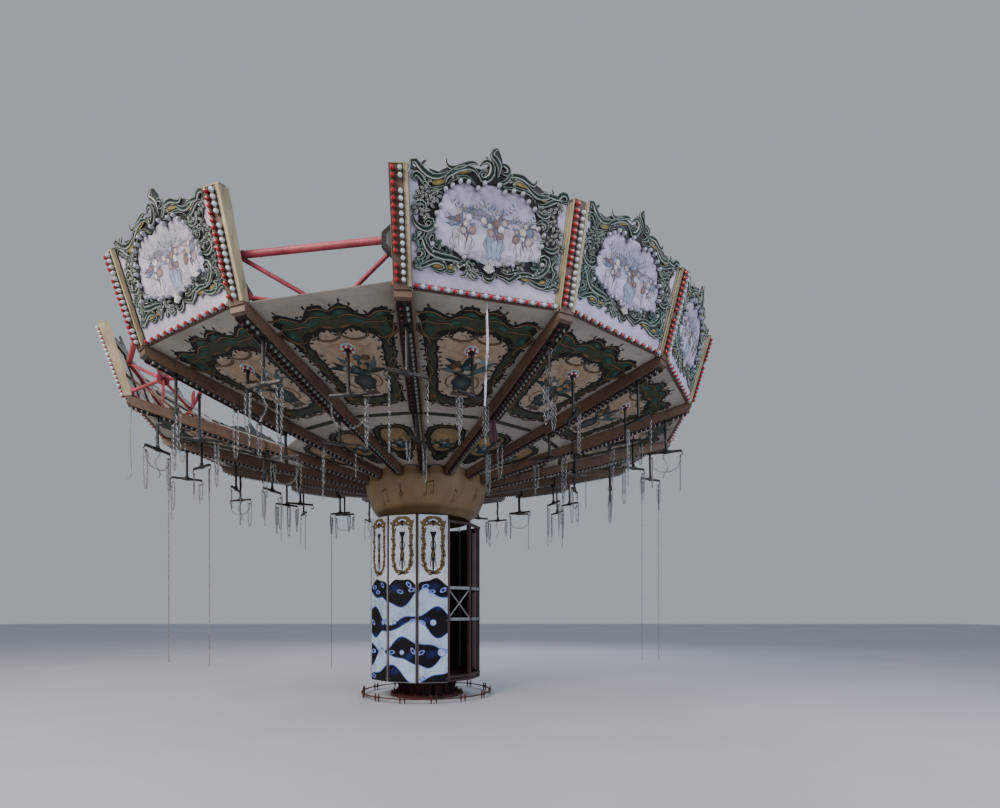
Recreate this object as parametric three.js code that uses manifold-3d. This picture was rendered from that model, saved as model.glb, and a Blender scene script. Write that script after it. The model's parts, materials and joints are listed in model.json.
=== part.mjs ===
// Chair swing ride: a twelve-sided drum tower on a pedestal, a telescopic mast, and a sixteen-armed
// crown with a panelled ceiling, ornamental rim boards and seat hangers. Millimetres, +Z up,
// origin on the ground at the tower's axis. The crown is modelled level, and its group leans it.
import * as THREE from "three";
import { mergeVertices } from "three/addons/utils/BufferGeometryUtils.js";
import Module from "manifold-3d";

const wasm = await Module();
wasm.setup();

// Used all over.
const FIT = 0.3; // left between pieces that touch
const TAU = 2 * Math.PI;
const radians = (degrees) => (degrees * Math.PI) / 180;

// Pedestal and ground ring.
const PEDESTAL_TOP = 345;
const PEDESTAL_FOOT_R = 720;
const PEDESTAL_NECK_R = 500;
const PEDESTAL_FLANGE_R = 650;
const PEDESTAL_LEVELS = [45, 75, 255, 285]; // foot's edge, neck's two ends, flange's edge
const RING_R = 1260;
const RING_WIDTH = 44;
const RING_HEIGHT = 14;
const RING_LEVEL = 70;
const STUD_R = 11;
const STUD_SPREAD = 0.036; // radians from a pair's middle to each stud
const STUD_PAIRS = 14;

// Drum tower.
const DRUM_SIDES = 12;
const DRUM_CORNER_R = 1130;
const DRUM_AZIMUTH = radians(-91.7); // the corner nearest the front
const DRUM_BOTTOM = 352;
const DRUM_TOP = 3390;
const DRUM_BOARD = 30; // thickness of a wall board
const DRUM_SEAM = 60; // gap between neighbouring boards
// Bays with boards; those of bays 1 to 3 are gone.
const WALL_BAYS = [
  [4, 5, 6],
  [7, 8, 9],
  [10, 11, 0],
];
const FLOOR_THICK = 40;
const FLOOR_HALF = 1020; // from the axis to the middle of the floor's sides
const RAIL_LEVELS = [435, 1500, 2080, 3300];
const RAIL_HEIGHT = 50;
const RAIL_DEPTH = 40;
const RAIL_CORNER_R = 1062.7;
const DRUM_POST = 60;
const POST_INNER_R = 990;
const POST_BEHIND_CORNER = { seam: 80, edge: 40 }; // a post's face behind the drum's corner line
const POST_UNDER_TOP = 60;
const EDGE_CORNERS = new Set([1, 4, 7, 10]); // where a wall ends
const STAY_R = 14;
const STRIP_INNER_R = 1063; // strip behind a seam
const STRIP_BEHIND_CORNER = 34;
const STRIP_END = 20; // from the boards' ends to the strip's

// Telescopic mast.
const MAST_SIDES = 16;
const MAST_R = 450;
const MAST_WALL = 40;
const MAST_TOP = 3000;
const INNER_MAST_R = 392;
const INNER_MAST_WALL = 32;
const INNER_MAST_TOP = 3600;
const INNER_MAST_CAP = 40;

// Tilting head. The crown leans about a horizontal shaft through PIVOT.
const PIVOT = 3700;
const LEAN = radians(2.3);
const LEAN_AZIMUTH = radians(122); // the low side of the crown
const SHAFT_R = 60;
const SHAFT_SIDES = 20;
const BORE_R = SHAFT_R + 1.2; // in the mast's two ears
const SHAFT_HALF = 345;
const EAR_AT = 250;
const EAR_THICK = 40;
const EAR_HALF = 110;
const EAR_ROOT = 20; // under the top of the mast
const EAR_OVER_PIVOT = 95;
const LUG_AT = 318;
const LUG_THICK = 50;
const LUG_HALF = 80;
const LUG_UNDER_PIVOT = 70;
const HEAD_R = 600;
const HEAD_BOTTOM = 3860;
const HEAD_TOP = 3900;
const SPIGOT_R = 240;
const SPIGOT_RISE = 190; // over the head plate
const ROOT = 10; // how far a piece goes into the one that it is joined to

// Crown.
const ARMS = 16;
const BAY = TAU / ARMS;
const CROWN_AZIMUTH = radians(-107.8); // arm 0
const RIM_R = 5000; // corner radius of the rim boards' lower edge
const RIM_LEVEL = 5080;
const BOARD_TOP_R = 5336;
const BOARD_TOP_LEVEL = 6140;
const BOARD_THICK = 30;
const BARE_BAYS = [0, 14]; // bays whose rim board is gone
const OPEN_CEILING_BAY = 14; // bay whose outer ceiling panel is gone

const CEILING_IN_R = 1000;
const CEILING_JOINT_R = 2650;
const CEILING_OUT_R = 4935;
const CEILING_THICK = 20;
const CEILING_R0 = 1180; // the ceiling's underside is a pyramid through these two levels
const CEILING_Z0 = 4230;
const CEILING_SLOPE = (RIM_LEVEL - CEILING_Z0) / (RIM_R - CEILING_R0);
const ROD_HOLE_R = 60;

const HUB_R = 690; // distance from the axis to the flat that an arm bolts to
const HUB_BOTTOM = HEAD_TOP + FIT;
const HUB_TOP = 4160;
const HUB_WALL = 45;
const HUB_PLATE = 40; // thickness of its bottom plate and of its inner tube
const HUB_TUBE_RISE = 190;
const HUB_GAP = 6; // round the spigot

const ARM_STEP_R = 3000; // the box beam is deeper outside this radius
const OUTER_BEAM = { width: 200, depth: 180 };
const INNER_BEAM = { width: 150, depth: 120 };
const BEAM_LAP = 40; // the inner beam's end inside the outer one
const BEAM_TAPER = 60; // the outer beam is shallower by this at its tip
const BEAM_TIP_DROP = 30; // the tip's top under the rim
const BEAM_END_GAP = 6; // from the beam's square end to the post's back
const POST_DROP = 45; // the post's foot under the rim
const BRACE_FOOT = { r: 4350, half: 90, width: 120, thick: 16 };
const BRACE_TOP_LEVEL = 5480; // top of the brace behind the post
const ROD_EMBED = 60; // a hanger rod's top under the beam's top
const POST_HALF = 100;
const POST_FRONT = 40;
const POST_BACK = 55; // deep enough to cover the boards' ends
const POST_TOP_LEVEL = 6165;

const HANGER_R = [4600, 3000]; // hangers under each arm
const HANGER_DROP = { 4600: 4290, 3000: 4060 };
const BAY_HANGER_R = 4060; // hanger in the middle of each bay
const BAY_HANGER_DROP = 4290;
const ROD_R = 19;
const SPREADER = { length: 480, width: 40, height: 34 };
const YOKE_TURN = radians(90); // a spreader lies across its arm, and each is turned on from the last
const YOKE_TURN_PER_ARM = radians(23);
const YOKE_TURN_PER_HANGER = radians(40);
const YOKE_TURN_PER_BAY = radians(31);

const RING_TUBE_R = 40;
const BRACE_R = 27;
const NODE_R = 4985; // ring tube, at the back of the posts
const NODE_LEVEL = 5640;
const NODE_BLOCK = 110;
const PLATE_R = 4550; // gusset plate in the middle of each bay
const PLATE_LEVEL = 5105;
const PLATE_HALF = 70;
const PLATE_RISE = 45;
const PLATE_THICK = 18;
const CROSS_LEVEL_RISE = 110; // cross tube over the ceiling
const CROSS_END_GAP = 45; // from the arm's plane to the cross tube's end
const FOOT_BRACE_LEVEL = RIM_LEVEL + 80; // lower brace, beside the post's foot
const FOOT_BRACE_SIDE = 70;

// A white tape under the front board's lower edge, and a rope under the end of one arm.
const CORD_STEP = 5; // radii of tube per step
const CORD_START = 22; // spacing of the points that leave the exit
const STRAP_BAY = 1;
const STRAP_R = 14;
const STRAP_ROUTE = [
  [-2, 0, 70],
  [-3, 2, 150],
  [-2, 5, 230],
  [1, 7, 310],
  [3, 8, 390],
  [3, 8, 470],
  [0, 7, 550],
  [-5, 5, 630],
  [-10, 3, 710],
  [-14, 2, 790],
  [-17, 2, 870],
  [-19, 3, 950],
  [-21, 4, 1030],
  [-24, 5, 1110],
  [-30, 6, 1190],
];
const ROPE_ARM = 14;
const ROPE_R = 4950; // distance of its exit from the axis
const ROPE_RADIUS = 8;
const ROPE_ROUTE = [
  [-3, 0, 60],
  [-6, -1, 130],
  [-9, -2, 200],
  [-11, -2, 280],
  [-12, -1, 360],
  [-13, 0, 440],
  [-14, 1, 520],
  [-14, 2, 600],
  [-13, 2, 680],
  [-10, 2, 760],
  [-5, 1, 840],
  [1, 0, 920],
  [5, -1, 990],
  [4, -2, 1050],
  [-18, -6, 1095],
  [-58, -12, 1120],
];

// Cloth round one hanger rod.
const WRAP_ARM = 2;
const WRAP_R = 68;
const WRAP_NECK_R = 44;
const WRAP_WAIST = 110; // height of the cloth's fullest and narrowest places from its ends
const WRAP_GAP = 20; // to the beam over it
const WRAP_HEM = 8; // the cloth draws in by this at its ends
const WRAP_ON_ROD = 2; // from the rod to the cloth

// Colours.
const paint = (color, roughness, metalness = 0) => new THREE.MeshStandardMaterial({ color, roughness, metalness });
const MATERIALS = {
  maroon: paint(0x4a1f1c, 0.6, 0.2),
  truss: paint(0xa8434a, 0.55, 0.2),
  rust: paint(0x5a2c22, 0.85, 0.2),
  steel: paint(0x77787a, 0.55, 0.7),
  drum: paint(0xcfd2d8, 0.45),
  bowl: paint(0x9a6b3c, 0.5),
  beam: paint(0x5e4636, 0.6),
  board: paint(0xc9c4d4, 0.5),
  ceiling: paint(0x8f8778, 0.6),
  cloth: paint(0x571f33, 0.9),
  tape: paint(0xcfcbd6, 0.7),
  rope: paint(0x8fa39a, 0.85),
};

// A closed geometry as a solid that can be joined and cut.
function solid(geometry) {
  const g = geometry.clone();
  g.deleteAttribute("normal");
  g.deleteAttribute("uv");
  const merged = mergeVertices(g, 1e-3);
  return new wasm.Manifold(
    new wasm.Mesh({
      numProp: 3,
      vertProperties: merged.attributes.position.array,
      triVerts: new Uint32Array(merged.index.array),
    }),
  );
}

// A solid back as a geometry.
function geometryOf(body) {
  const mesh = body.getMesh();
  const stride = mesh.numProp;
  const positions = new Float32Array(mesh.numVert * 3);
  for (let i = 0; i < mesh.numVert; i++) {
    positions.set(mesh.vertProperties.subarray(i * stride, i * stride + 3), i * 3);
  }
  const geometry = new THREE.BufferGeometry();
  geometry.setAttribute("position", new THREE.BufferAttribute(positions, 3));
  geometry.setIndex(new THREE.BufferAttribute(mesh.triVerts, 1));
  geometry.computeVertexNormals();
  return geometry;
}

const joined = (pieces) => pieces.map(solid).reduce((all, piece) => all.add(piece));

function named(name, body, material) {
  const mesh = new THREE.Mesh(geometryOf(body), material);
  mesh.name = name;
  return mesh;
}

// A straight bar of regular section between two points.
function bar(from, to, radius, sides = 4) {
  const along = new THREE.Vector3().subVectors(to, from);
  const geometry = new THREE.CylinderGeometry(radius, radius, along.length(), sides);
  geometry.translate(0, along.length() / 2, 0);
  const turn = new THREE.Quaternion().setFromUnitVectors(new THREE.Vector3(0, 1, 0), along.normalize());
  geometry.applyQuaternion(turn);
  geometry.translate(from.x, from.y, from.z);
  return geometry;
}

function block(x0, x1, y0, y1, z0, z1) {
  const geometry = new THREE.BoxGeometry(x1 - x0, y1 - y0, z1 - z0);
  geometry.translate((x0 + x1) / 2, (y0 + y1) / 2, (z0 + z1) / 2);
  return geometry;
}

// A plate whose outline lies in the plane of X and Z, centred on Y = 0.
function sidePlate(outline, width) {
  const shape = new THREE.Shape(outline.map(([x, z]) => new THREE.Vector2(x, z)));
  const geometry = new THREE.ExtrudeGeometry(shape, { depth: width, bevelEnabled: false });
  geometry.rotateX(Math.PI / 2);
  geometry.translate(0, width / 2, 0);
  return geometry;
}

// A body of revolution about Z from a closed profile of [radius, height], first vertex at an azimuth.
function turned(profile, sides, azimuth = 0) {
  const points = [...profile, profile[0]].map(([r, z]) => new THREE.Vector2(r, z));
  const geometry = new THREE.LatheGeometry(points, sides);
  geometry.rotateX(Math.PI / 2);
  geometry.rotateZ(azimuth - Math.PI / 2);
  return geometry;
}

const polar = (r, azimuth, z) => new THREE.Vector3(r * Math.cos(azimuth), r * Math.sin(azimuth), z);
const drumAzimuth = (corner) => DRUM_AZIMUTH + (corner * TAU) / DRUM_SIDES;
const armAzimuth = (arm) => CROWN_AZIMUTH + arm * BAY;
const ceilingLevel = (r) => CEILING_Z0 + (r - CEILING_R0) * CEILING_SLOPE;
const twoDigits = (n) => String(n).padStart(2, "0");

function pedestal() {
  const [footEdge, neckLow, neckHigh, flangeEdge] = PEDESTAL_LEVELS;
  const profile = [
    [0, 0],
    [PEDESTAL_FOOT_R, 0],
    [PEDESTAL_FOOT_R, footEdge],
    [PEDESTAL_NECK_R, neckLow],
    [PEDESTAL_NECK_R, neckHigh],
    [PEDESTAL_FLANGE_R, flangeEdge],
    [PEDESTAL_FLANGE_R, PEDESTAL_TOP],
    [0, PEDESTAL_TOP],
  ];
  const points = profile.map(([r, z]) => new THREE.Vector2(r, z));
  const geometry = new THREE.LatheGeometry(points, 24);
  geometry.rotateX(Math.PI / 2);
  return solid(geometry);
}

// A flat ring held on pairs of studs that stand on the ground.
function anchorRing() {
  const half = RING_WIDTH / 2;
  const ring = turned(
    [
      [RING_R - half, RING_LEVEL],
      [RING_R + half, RING_LEVEL],
      [RING_R + half, RING_LEVEL + RING_HEIGHT],
      [RING_R - half, RING_LEVEL + RING_HEIGHT],
    ],
    STUD_PAIRS * 2,
  );
  const studs = [];
  for (let pair = 0; pair < STUD_PAIRS; pair++) {
    for (const side of [-1, 1]) {
      const azimuth = (pair * TAU) / STUD_PAIRS + side * STUD_SPREAD;
      studs.push(bar(polar(RING_R, azimuth, 0), polar(RING_R, azimuth, RING_LEVEL + RING_HEIGHT / 2), STUD_R));
    }
  }
  return joined([ring, ...studs]);
}

// The turning floor with the outer tube of the mast on it.
function towerMast() {
  const floorTop = PEDESTAL_TOP + FIT + FLOOR_THICK;
  const floorR = FLOOR_HALF / Math.cos(Math.PI / DRUM_SIDES);
  const floor = new THREE.CylinderGeometry(floorR, floorR, FLOOR_THICK, DRUM_SIDES);
  floor.rotateX(Math.PI / 2);
  floor.rotateZ(DRUM_AZIMUTH + Math.PI / 2);
  floor.translate(0, 0, floorTop - FLOOR_THICK / 2);
  const tube = turned(
    [
      [MAST_R - MAST_WALL, floorTop - FLOOR_THICK / 2],
      [MAST_R, floorTop - FLOOR_THICK / 2],
      [MAST_R, MAST_TOP],
      [MAST_R - MAST_WALL, MAST_TOP],
    ],
    MAST_SIDES,
  );
  return joined([floor, tube]);
}

const FRAME_BOTTOM = PEDESTAL_TOP + FIT + FLOOR_THICK + FIT;

// Corner posts, ring rails and the crossed stays of the first open bay.
function drumFrame() {
  const pieces = [];
  for (let corner = 0; corner < DRUM_SIDES; corner++) {
    const behind = EDGE_CORNERS.has(corner) ? POST_BEHIND_CORNER.edge : POST_BEHIND_CORNER.seam;
    const half = DRUM_POST / 2;
    const post = block(POST_INNER_R, DRUM_CORNER_R - behind, -half, half, FRAME_BOTTOM, DRUM_TOP - POST_UNDER_TOP);
    post.rotateZ(drumAzimuth(corner));
    pieces.push(post);
  }
  for (const level of RAIL_LEVELS) {
    const inner = RAIL_CORNER_R - RAIL_DEPTH;
    const low = level - RAIL_HEIGHT / 2;
    const high = level + RAIL_HEIGHT / 2;
    const profile = [
      [inner, low],
      [RAIL_CORNER_R, low],
      [RAIL_CORNER_R, high],
      [inner, high],
    ];
    pieces.push(turned(profile, DRUM_SIDES, DRUM_AZIMUTH));
  }
  const stayR = RAIL_CORNER_R - RAIL_DEPTH / 2;
  const [low, high] = [RAIL_LEVELS[1], RAIL_LEVELS[2]];
  const [start, end] = [drumAzimuth(1), drumAzimuth(2)];
  pieces.push(bar(polar(stayR, start, low), polar(stayR, end, high), STAY_R));
  pieces.push(bar(polar(stayR, start, high), polar(stayR, end, low), STAY_R));
  return joined(pieces);
}

// Three neighbouring wall boards held together by the strips behind their seams.
function drumWall(bays) {
  const pieces = [];
  const step = TAU / DRUM_SIDES;
  const face = DRUM_CORNER_R * Math.cos(step / 2);
  const half = DRUM_CORNER_R * Math.sin(step / 2) - DRUM_SEAM / 2;
  for (const bay of bays) {
    const board = block(face - DRUM_BOARD, face, -half, half, DRUM_BOTTOM, DRUM_TOP);
    board.rotateZ(drumAzimuth(bay) + step / 2);
    pieces.push(board);
  }
  for (const corner of bays.slice(1)) {
    const [low, high] = [DRUM_BOTTOM + STRIP_END, DRUM_TOP - STRIP_END];
    const outer = DRUM_CORNER_R - STRIP_BEHIND_CORNER;
    const strip = block(STRIP_INNER_R, outer, -DRUM_POST / 2, DRUM_POST / 2, low, high);
    strip.rotateZ(drumAzimuth(corner));
    pieces.push(strip);
  }
  return joined(pieces);
}

// The sliding tube with two bored ears that carry the tilting head.
function liftMast() {
  const bottom = FRAME_BOTTOM;
  const inner = INNER_MAST_R - INNER_MAST_WALL;
  const tube = new THREE.LatheGeometry(
    [
      [inner, bottom],
      [INNER_MAST_R, bottom],
      [INNER_MAST_R, INNER_MAST_TOP],
      [0, INNER_MAST_TOP],
      [0, INNER_MAST_TOP - INNER_MAST_CAP],
      [inner, INNER_MAST_TOP - INNER_MAST_CAP],
      [inner, bottom],
    ].map(([r, z]) => new THREE.Vector2(r, z)),
    MAST_SIDES,
  );
  tube.rotateX(Math.PI / 2);
  tube.rotateZ(-Math.PI / 2);
  const ears = [];
  for (const side of [-1, 1]) {
    const [near, far] = [side * EAR_AT - EAR_THICK / 2, side * EAR_AT + EAR_THICK / 2];
    ears.push(block(near, far, -EAR_HALF, EAR_HALF, INNER_MAST_TOP - EAR_ROOT, PIVOT + EAR_OVER_PIVOT));
  }
  const bore = new THREE.CylinderGeometry(BORE_R, BORE_R, 2 * SHAFT_HALF, SHAFT_SIDES);
  bore.rotateZ(Math.PI / 2);
  bore.translate(0, 0, PIVOT);
  return joined(ears).subtract(solid(bore)).add(solid(tube));
}

// The shaft, its lugs and the round head plate with its spigot. X is the shaft's direction.
function tiltFrame() {
  const shaft = new THREE.CylinderGeometry(SHAFT_R, SHAFT_R, 2 * SHAFT_HALF, SHAFT_SIDES);
  shaft.rotateZ(Math.PI / 2);
  shaft.translate(0, 0, PIVOT);
  const pieces = [shaft];
  for (const side of [-1, 1]) {
    const [near, far] = [side * LUG_AT - LUG_THICK / 2, side * LUG_AT + LUG_THICK / 2];
    pieces.push(block(near, far, -LUG_HALF, LUG_HALF, PIVOT - LUG_UNDER_PIVOT, HEAD_BOTTOM + ROOT));
  }
  const plate = new THREE.CylinderGeometry(HEAD_R, HEAD_R, HEAD_TOP - HEAD_BOTTOM, 24);
  plate.rotateX(Math.PI / 2);
  plate.translate(0, 0, (HEAD_TOP + HEAD_BOTTOM) / 2);
  const spigot = new THREE.CylinderGeometry(SPIGOT_R, SPIGOT_R, SPIGOT_RISE + ROOT, 24);
  spigot.rotateX(Math.PI / 2);
  spigot.translate(0, 0, HEAD_TOP + (SPIGOT_RISE - ROOT) / 2);
  pieces.push(plate, spigot);
  return joined(pieces);
}

// A sixteen-sided channel ring: bottom plate, outer wall with a flat for each arm, inner tube.
function crownHub() {
  const corner = 1 / Math.cos(BAY / 2);
  const outer = HUB_R * corner;
  const wall = HUB_R - HUB_WALL;
  const bore = (SPIGOT_R + HUB_GAP) * corner;
  return solid(
    turned(
      [
        [bore, HUB_BOTTOM],
        [outer, HUB_BOTTOM],
        [outer, HUB_TOP],
        [wall * corner, HUB_TOP],
        [wall * corner, HUB_BOTTOM + HUB_PLATE],
        [bore + HUB_PLATE, HUB_BOTTOM + HUB_PLATE],
        [bore + HUB_PLATE, HUB_BOTTOM + HUB_TUBE_RISE],
        [bore, HUB_BOTTOM + HUB_TUBE_RISE],
      ],
      ARMS,
      CROWN_AZIMUTH + BAY / 2,
    ),
  );
}

// The round fairing under the crown, notched for each arm.
const BOWL_PROFILE = [
  [905, 3500],
  [1010, 3570],
  [1110, 3770],
  [1168, 3980],
  [1172, 4100],
  [1136, 4196],
];
const BOWL_WALL = 16;
const BOWL_NOTCH = { inner: 1050, outer: 1250, rise: 200 };

function bowl() {
  const inner = BOWL_PROFILE.map(([r, z]) => [r - BOWL_WALL, z]).reverse();
  let shell = solid(turned([...BOWL_PROFILE, ...inner], 2 * ARMS, CROWN_AZIMUTH));
  const half = INNER_BEAM.width / 2 + FIT;
  const rim = BOWL_PROFILE[BOWL_PROFILE.length - 1][0];
  for (let arm = 0; arm < ARMS; arm++) {
    const floor = beamUnderside(rim - BOWL_WALL, INNER_BEAM) - FIT;
    const notch = block(BOWL_NOTCH.inner, BOWL_NOTCH.outer, -half, half, floor, floor + BOWL_NOTCH.rise);
    notch.rotateZ(armAzimuth(arm));
    shell = shell.subtract(solid(notch));
  }
  return shell;
}

const beamTop = (r) => ceilingLevel(r) - FIT;
const beamUnderside = (r, beam) => beamTop(r) - beam.depth;

// A hanging rod with its spreader bar, straight down from a point on +X.
function hanger(x, top, bottom, turn) {
  const rod = bar(new THREE.Vector3(x, 0, bottom), new THREE.Vector3(x, 0, top), ROD_R);
  const { length, width, height } = SPREADER;
  const spreader = block(-length / 2, length / 2, -width / 2, width / 2, -height / 2, height / 2);
  spreader.rotateZ(turn);
  spreader.translate(x, 0, bottom);
  return [rod, spreader];
}

// Rim line of the posts and boards in the plane of X and Z: lower corner to upper corner.
const RIM_LEAN = Math.atan2(BOARD_TOP_R - RIM_R, BOARD_TOP_LEVEL - RIM_LEVEL);
const rimRadius = (z) => RIM_R + (z - RIM_LEVEL) * Math.tan(RIM_LEAN);

// Underside of an arm's outer beam: a straight line from its start to the arm's tip.
const BEAM_TIP_R = RIM_R + 10;
const BEAM_FOOT = {
  start: [ARM_STEP_R, beamUnderside(ARM_STEP_R, OUTER_BEAM)],
  end: [BEAM_TIP_R, beamUnderside(RIM_R, OUTER_BEAM) + BEAM_TAPER],
};
BEAM_FOOT.slope = (BEAM_FOOT.end[1] - BEAM_FOOT.start[1]) / (BEAM_FOOT.end[0] - BEAM_FOOT.start[0]);

// An arm along +X: stepped box beam, end post, back brace and two hangers.
function arm(index) {
  const start = HUB_R + FIT;
  const lap = ARM_STEP_R + BEAM_LAP;
  const innerBeam = sidePlate(
    [
      [start, beamUnderside(start, INNER_BEAM)],
      [lap, beamUnderside(lap, INNER_BEAM)],
      [lap, beamTop(lap)],
      [start, beamTop(start)],
    ],
    INNER_BEAM.width,
  );
  const end = RIM_R - POST_BACK - BEAM_END_GAP;
  const outerBeam = sidePlate(
    [
      [ARM_STEP_R, beamTop(ARM_STEP_R)],
      BEAM_FOOT.start,
      BEAM_FOOT.end,
      [BEAM_TIP_R, RIM_LEVEL - BEAM_TIP_DROP],
      [end, RIM_LEVEL - BEAM_TIP_DROP],
      [end, beamTop(end)],
    ],
    OUTER_BEAM.width,
  );
  const low = RIM_LEVEL - POST_DROP;
  const post = sidePlate(
    [
      [rimRadius(low) - POST_BACK, low],
      [rimRadius(low) + POST_FRONT, low],
      [rimRadius(POST_TOP_LEVEL) + POST_FRONT, POST_TOP_LEVEL],
      [rimRadius(POST_TOP_LEVEL) - POST_BACK, POST_TOP_LEVEL],
    ],
    2 * POST_HALF,
  );
  // The ceiling rises a little away from the arm's line, so the foot stands on its two long edges.
  const rise = (BRACE_FOOT.width / 2) * Math.tan(BAY / 2) * CEILING_SLOPE + FIT;
  const footLevel = (r) => ceilingLevel(r) + CEILING_THICK + rise;
  const [near, far] = [BRACE_FOOT.r - BRACE_FOOT.half, BRACE_FOOT.r + BRACE_FOOT.half];
  const foot = sidePlate(
    [
      [near, footLevel(near)],
      [far, footLevel(far)],
      [far, footLevel(far) + BRACE_FOOT.thick],
      [near, footLevel(near) + BRACE_FOOT.thick],
    ],
    BRACE_FOOT.width,
  );
  const brace = bar(
    new THREE.Vector3(BRACE_FOOT.r, 0, footLevel(BRACE_FOOT.r) + BRACE_R),
    new THREE.Vector3(rimRadius(BRACE_TOP_LEVEL) - POST_BACK / 2, 0, BRACE_TOP_LEVEL),
    BRACE_R,
  );
  const pieces = [innerBeam, outerBeam, post, foot, brace];
  HANGER_R.forEach((r, i) => {
    const turn = YOKE_TURN + YOKE_TURN_PER_ARM * index + YOKE_TURN_PER_HANGER * i;
    pieces.push(...hanger(r, beamTop(r) - ROD_EMBED, HANGER_DROP[r], turn));
  });
  return joined(pieces);
}

// Half-width of a rim board at a height, clear of the posts at both ends.
const boardInset = (POST_HALF + FIT + BOARD_THICK * Math.cos(RIM_LEAN) * Math.sin(BAY / 2)) / Math.cos(BAY / 2);
const boardHalf = (z) => rimRadius(z) * Math.sin(BAY / 2) - boardInset;

// The crest over the board's straight top edge: [share of the half-width, rise].
const CREST = [
  [1, 0],
  [0.98, 40],
  [0.88, 60],
  [0.72, 15],
  [0.58, 100],
  [0.48, 135],
  [0.38, 100],
  [0.2, 135],
  [0.12, 220],
  [0.07, 330],
  [0.03, 390],
  [-0.02, 300],
  [-0.06, 200],
  [-0.2, 135],
  [-0.38, 100],
  [-0.48, 135],
  [-0.58, 100],
  [-0.72, 15],
  [-0.88, 60],
  [-0.98, 40],
  [-1, 0],
];

// A rim board in the middle of the bay round +X: flat panel with the crest's outline.
function rimBoard() {
  const slant = (z) => (z - RIM_LEVEL) / Math.cos(RIM_LEAN);
  const topHalf = boardHalf(BOARD_TOP_LEVEL);
  const outline = [
    [-boardHalf(RIM_LEVEL), 0],
    [boardHalf(RIM_LEVEL), 0],
    ...CREST.map(([share, rise]) => [share * topHalf, slant(BOARD_TOP_LEVEL) + rise]),
  ];
  const shape = new THREE.Shape(outline.map(([u, v]) => new THREE.Vector2(u, v)));
  const geometry = new THREE.ExtrudeGeometry(shape, { depth: BOARD_THICK, bevelEnabled: false });
  geometry.translate(0, 0, -BOARD_THICK);
  const across = new THREE.Vector3(0, 1, 0);
  const up = new THREE.Vector3(Math.sin(RIM_LEAN) * Math.cos(BAY / 2), 0, Math.cos(RIM_LEAN)).normalize();
  const out = new THREE.Vector3().crossVectors(across, up);
  geometry.applyMatrix4(new THREE.Matrix4().makeBasis(across, up, out));
  geometry.translate(RIM_R * Math.cos(BAY / 2), 0, RIM_LEVEL);
  return geometry;
}

// A pyramid sheet over several bays between two corner radii, on top of the beams.
function ceilingSheet(firstBay, count, inner, outer) {
  const positions = [];
  for (let i = 0; i <= count; i++) {
    for (const r of [inner, outer]) {
      for (const rise of [0, CEILING_THICK]) {
        positions.push(...polar(r, armAzimuth(firstBay + i), ceilingLevel(r) + rise).toArray());
      }
    }
  }
  const faces = [];
  const quad = (a, b, c, d) => faces.push(a, b, c, a, c, d);
  for (let i = 0; i < count; i++) {
    const [a, b] = [4 * i, 4 * i + 4];
    quad(a, b, b + 2, a + 2);
    quad(a + 1, a + 3, b + 3, b + 1);
    quad(a, a + 1, b + 1, b);
    quad(a + 2, b + 2, b + 3, a + 3);
  }
  const last = 4 * count;
  quad(0, 2, 3, 1);
  quad(last, last + 1, last + 3, last + 2);
  const geometry = new THREE.BufferGeometry();
  geometry.setAttribute("position", new THREE.Float32BufferAttribute(positions, 3));
  geometry.setIndex(faces);
  return solid(geometry);
}

function ceiling(bays) {
  const full = bays.filter((bay) => bay !== OPEN_CEILING_BAY);
  let sheet = ceilingSheet(full[0], full.length, CEILING_IN_R, CEILING_OUT_R);
  if (full.length < bays.length) {
    sheet = sheet.add(ceilingSheet(OPEN_CEILING_BAY, 1, CEILING_IN_R, CEILING_JOINT_R));
  }
  for (const bay of full) {
    const hole = new THREE.CylinderGeometry(ROD_HOLE_R, ROD_HOLE_R, 10 * CEILING_THICK, 8);
    hole.rotateX(Math.PI / 2);
    const centre = polar(BAY_HANGER_R, armAzimuth(bay + 0.5), ceilingLevel(BAY_HANGER_R));
    hole.translate(centre.x, centre.y, centre.z);
    sheet = sheet.subtract(solid(hole));
  }
  // Both radial ends stop short of the next sheet.
  for (const [arm, near, far] of [
    [bays[0], -1, FIT],
    [bays[bays.length - 1] + 1, -FIT, 1],
  ]) {
    const trim = block(0, RIM_R, near, far, 0, BOARD_TOP_LEVEL);
    trim.rotateZ(armAzimuth(arm));
    sheet = sheet.subtract(solid(trim));
  }
  return sheet;
}

// The back face of a post at the bottom of a truss node, which leans away above it.
const NODE_FACE = rimRadius(NODE_LEVEL - NODE_BLOCK / 2) - POST_BACK - FIT;

// Ring tube, gusset plate, cross tube and hanger of each bay, joined at the nodes behind the posts.
function ringTruss(bays) {
  const pieces = bays.flatMap(bayTruss);
  const half = NODE_BLOCK / 2;
  const first = bays[0];
  const last = bays[bays.length - 1] + 1;
  for (let arm = first; arm <= last; arm++) {
    // Where two trusses meet, each has its own half of the node.
    const near = arm === first ? FIT / 2 : -half;
    const far = arm === last ? -FIT / 2 : half;
    const node = block(NODE_R - half, NODE_FACE, near, far, NODE_LEVEL - half, NODE_LEVEL + half);
    node.rotateZ(armAzimuth(arm));
    pieces.push(node);
  }
  return joined(pieces);
}

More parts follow.
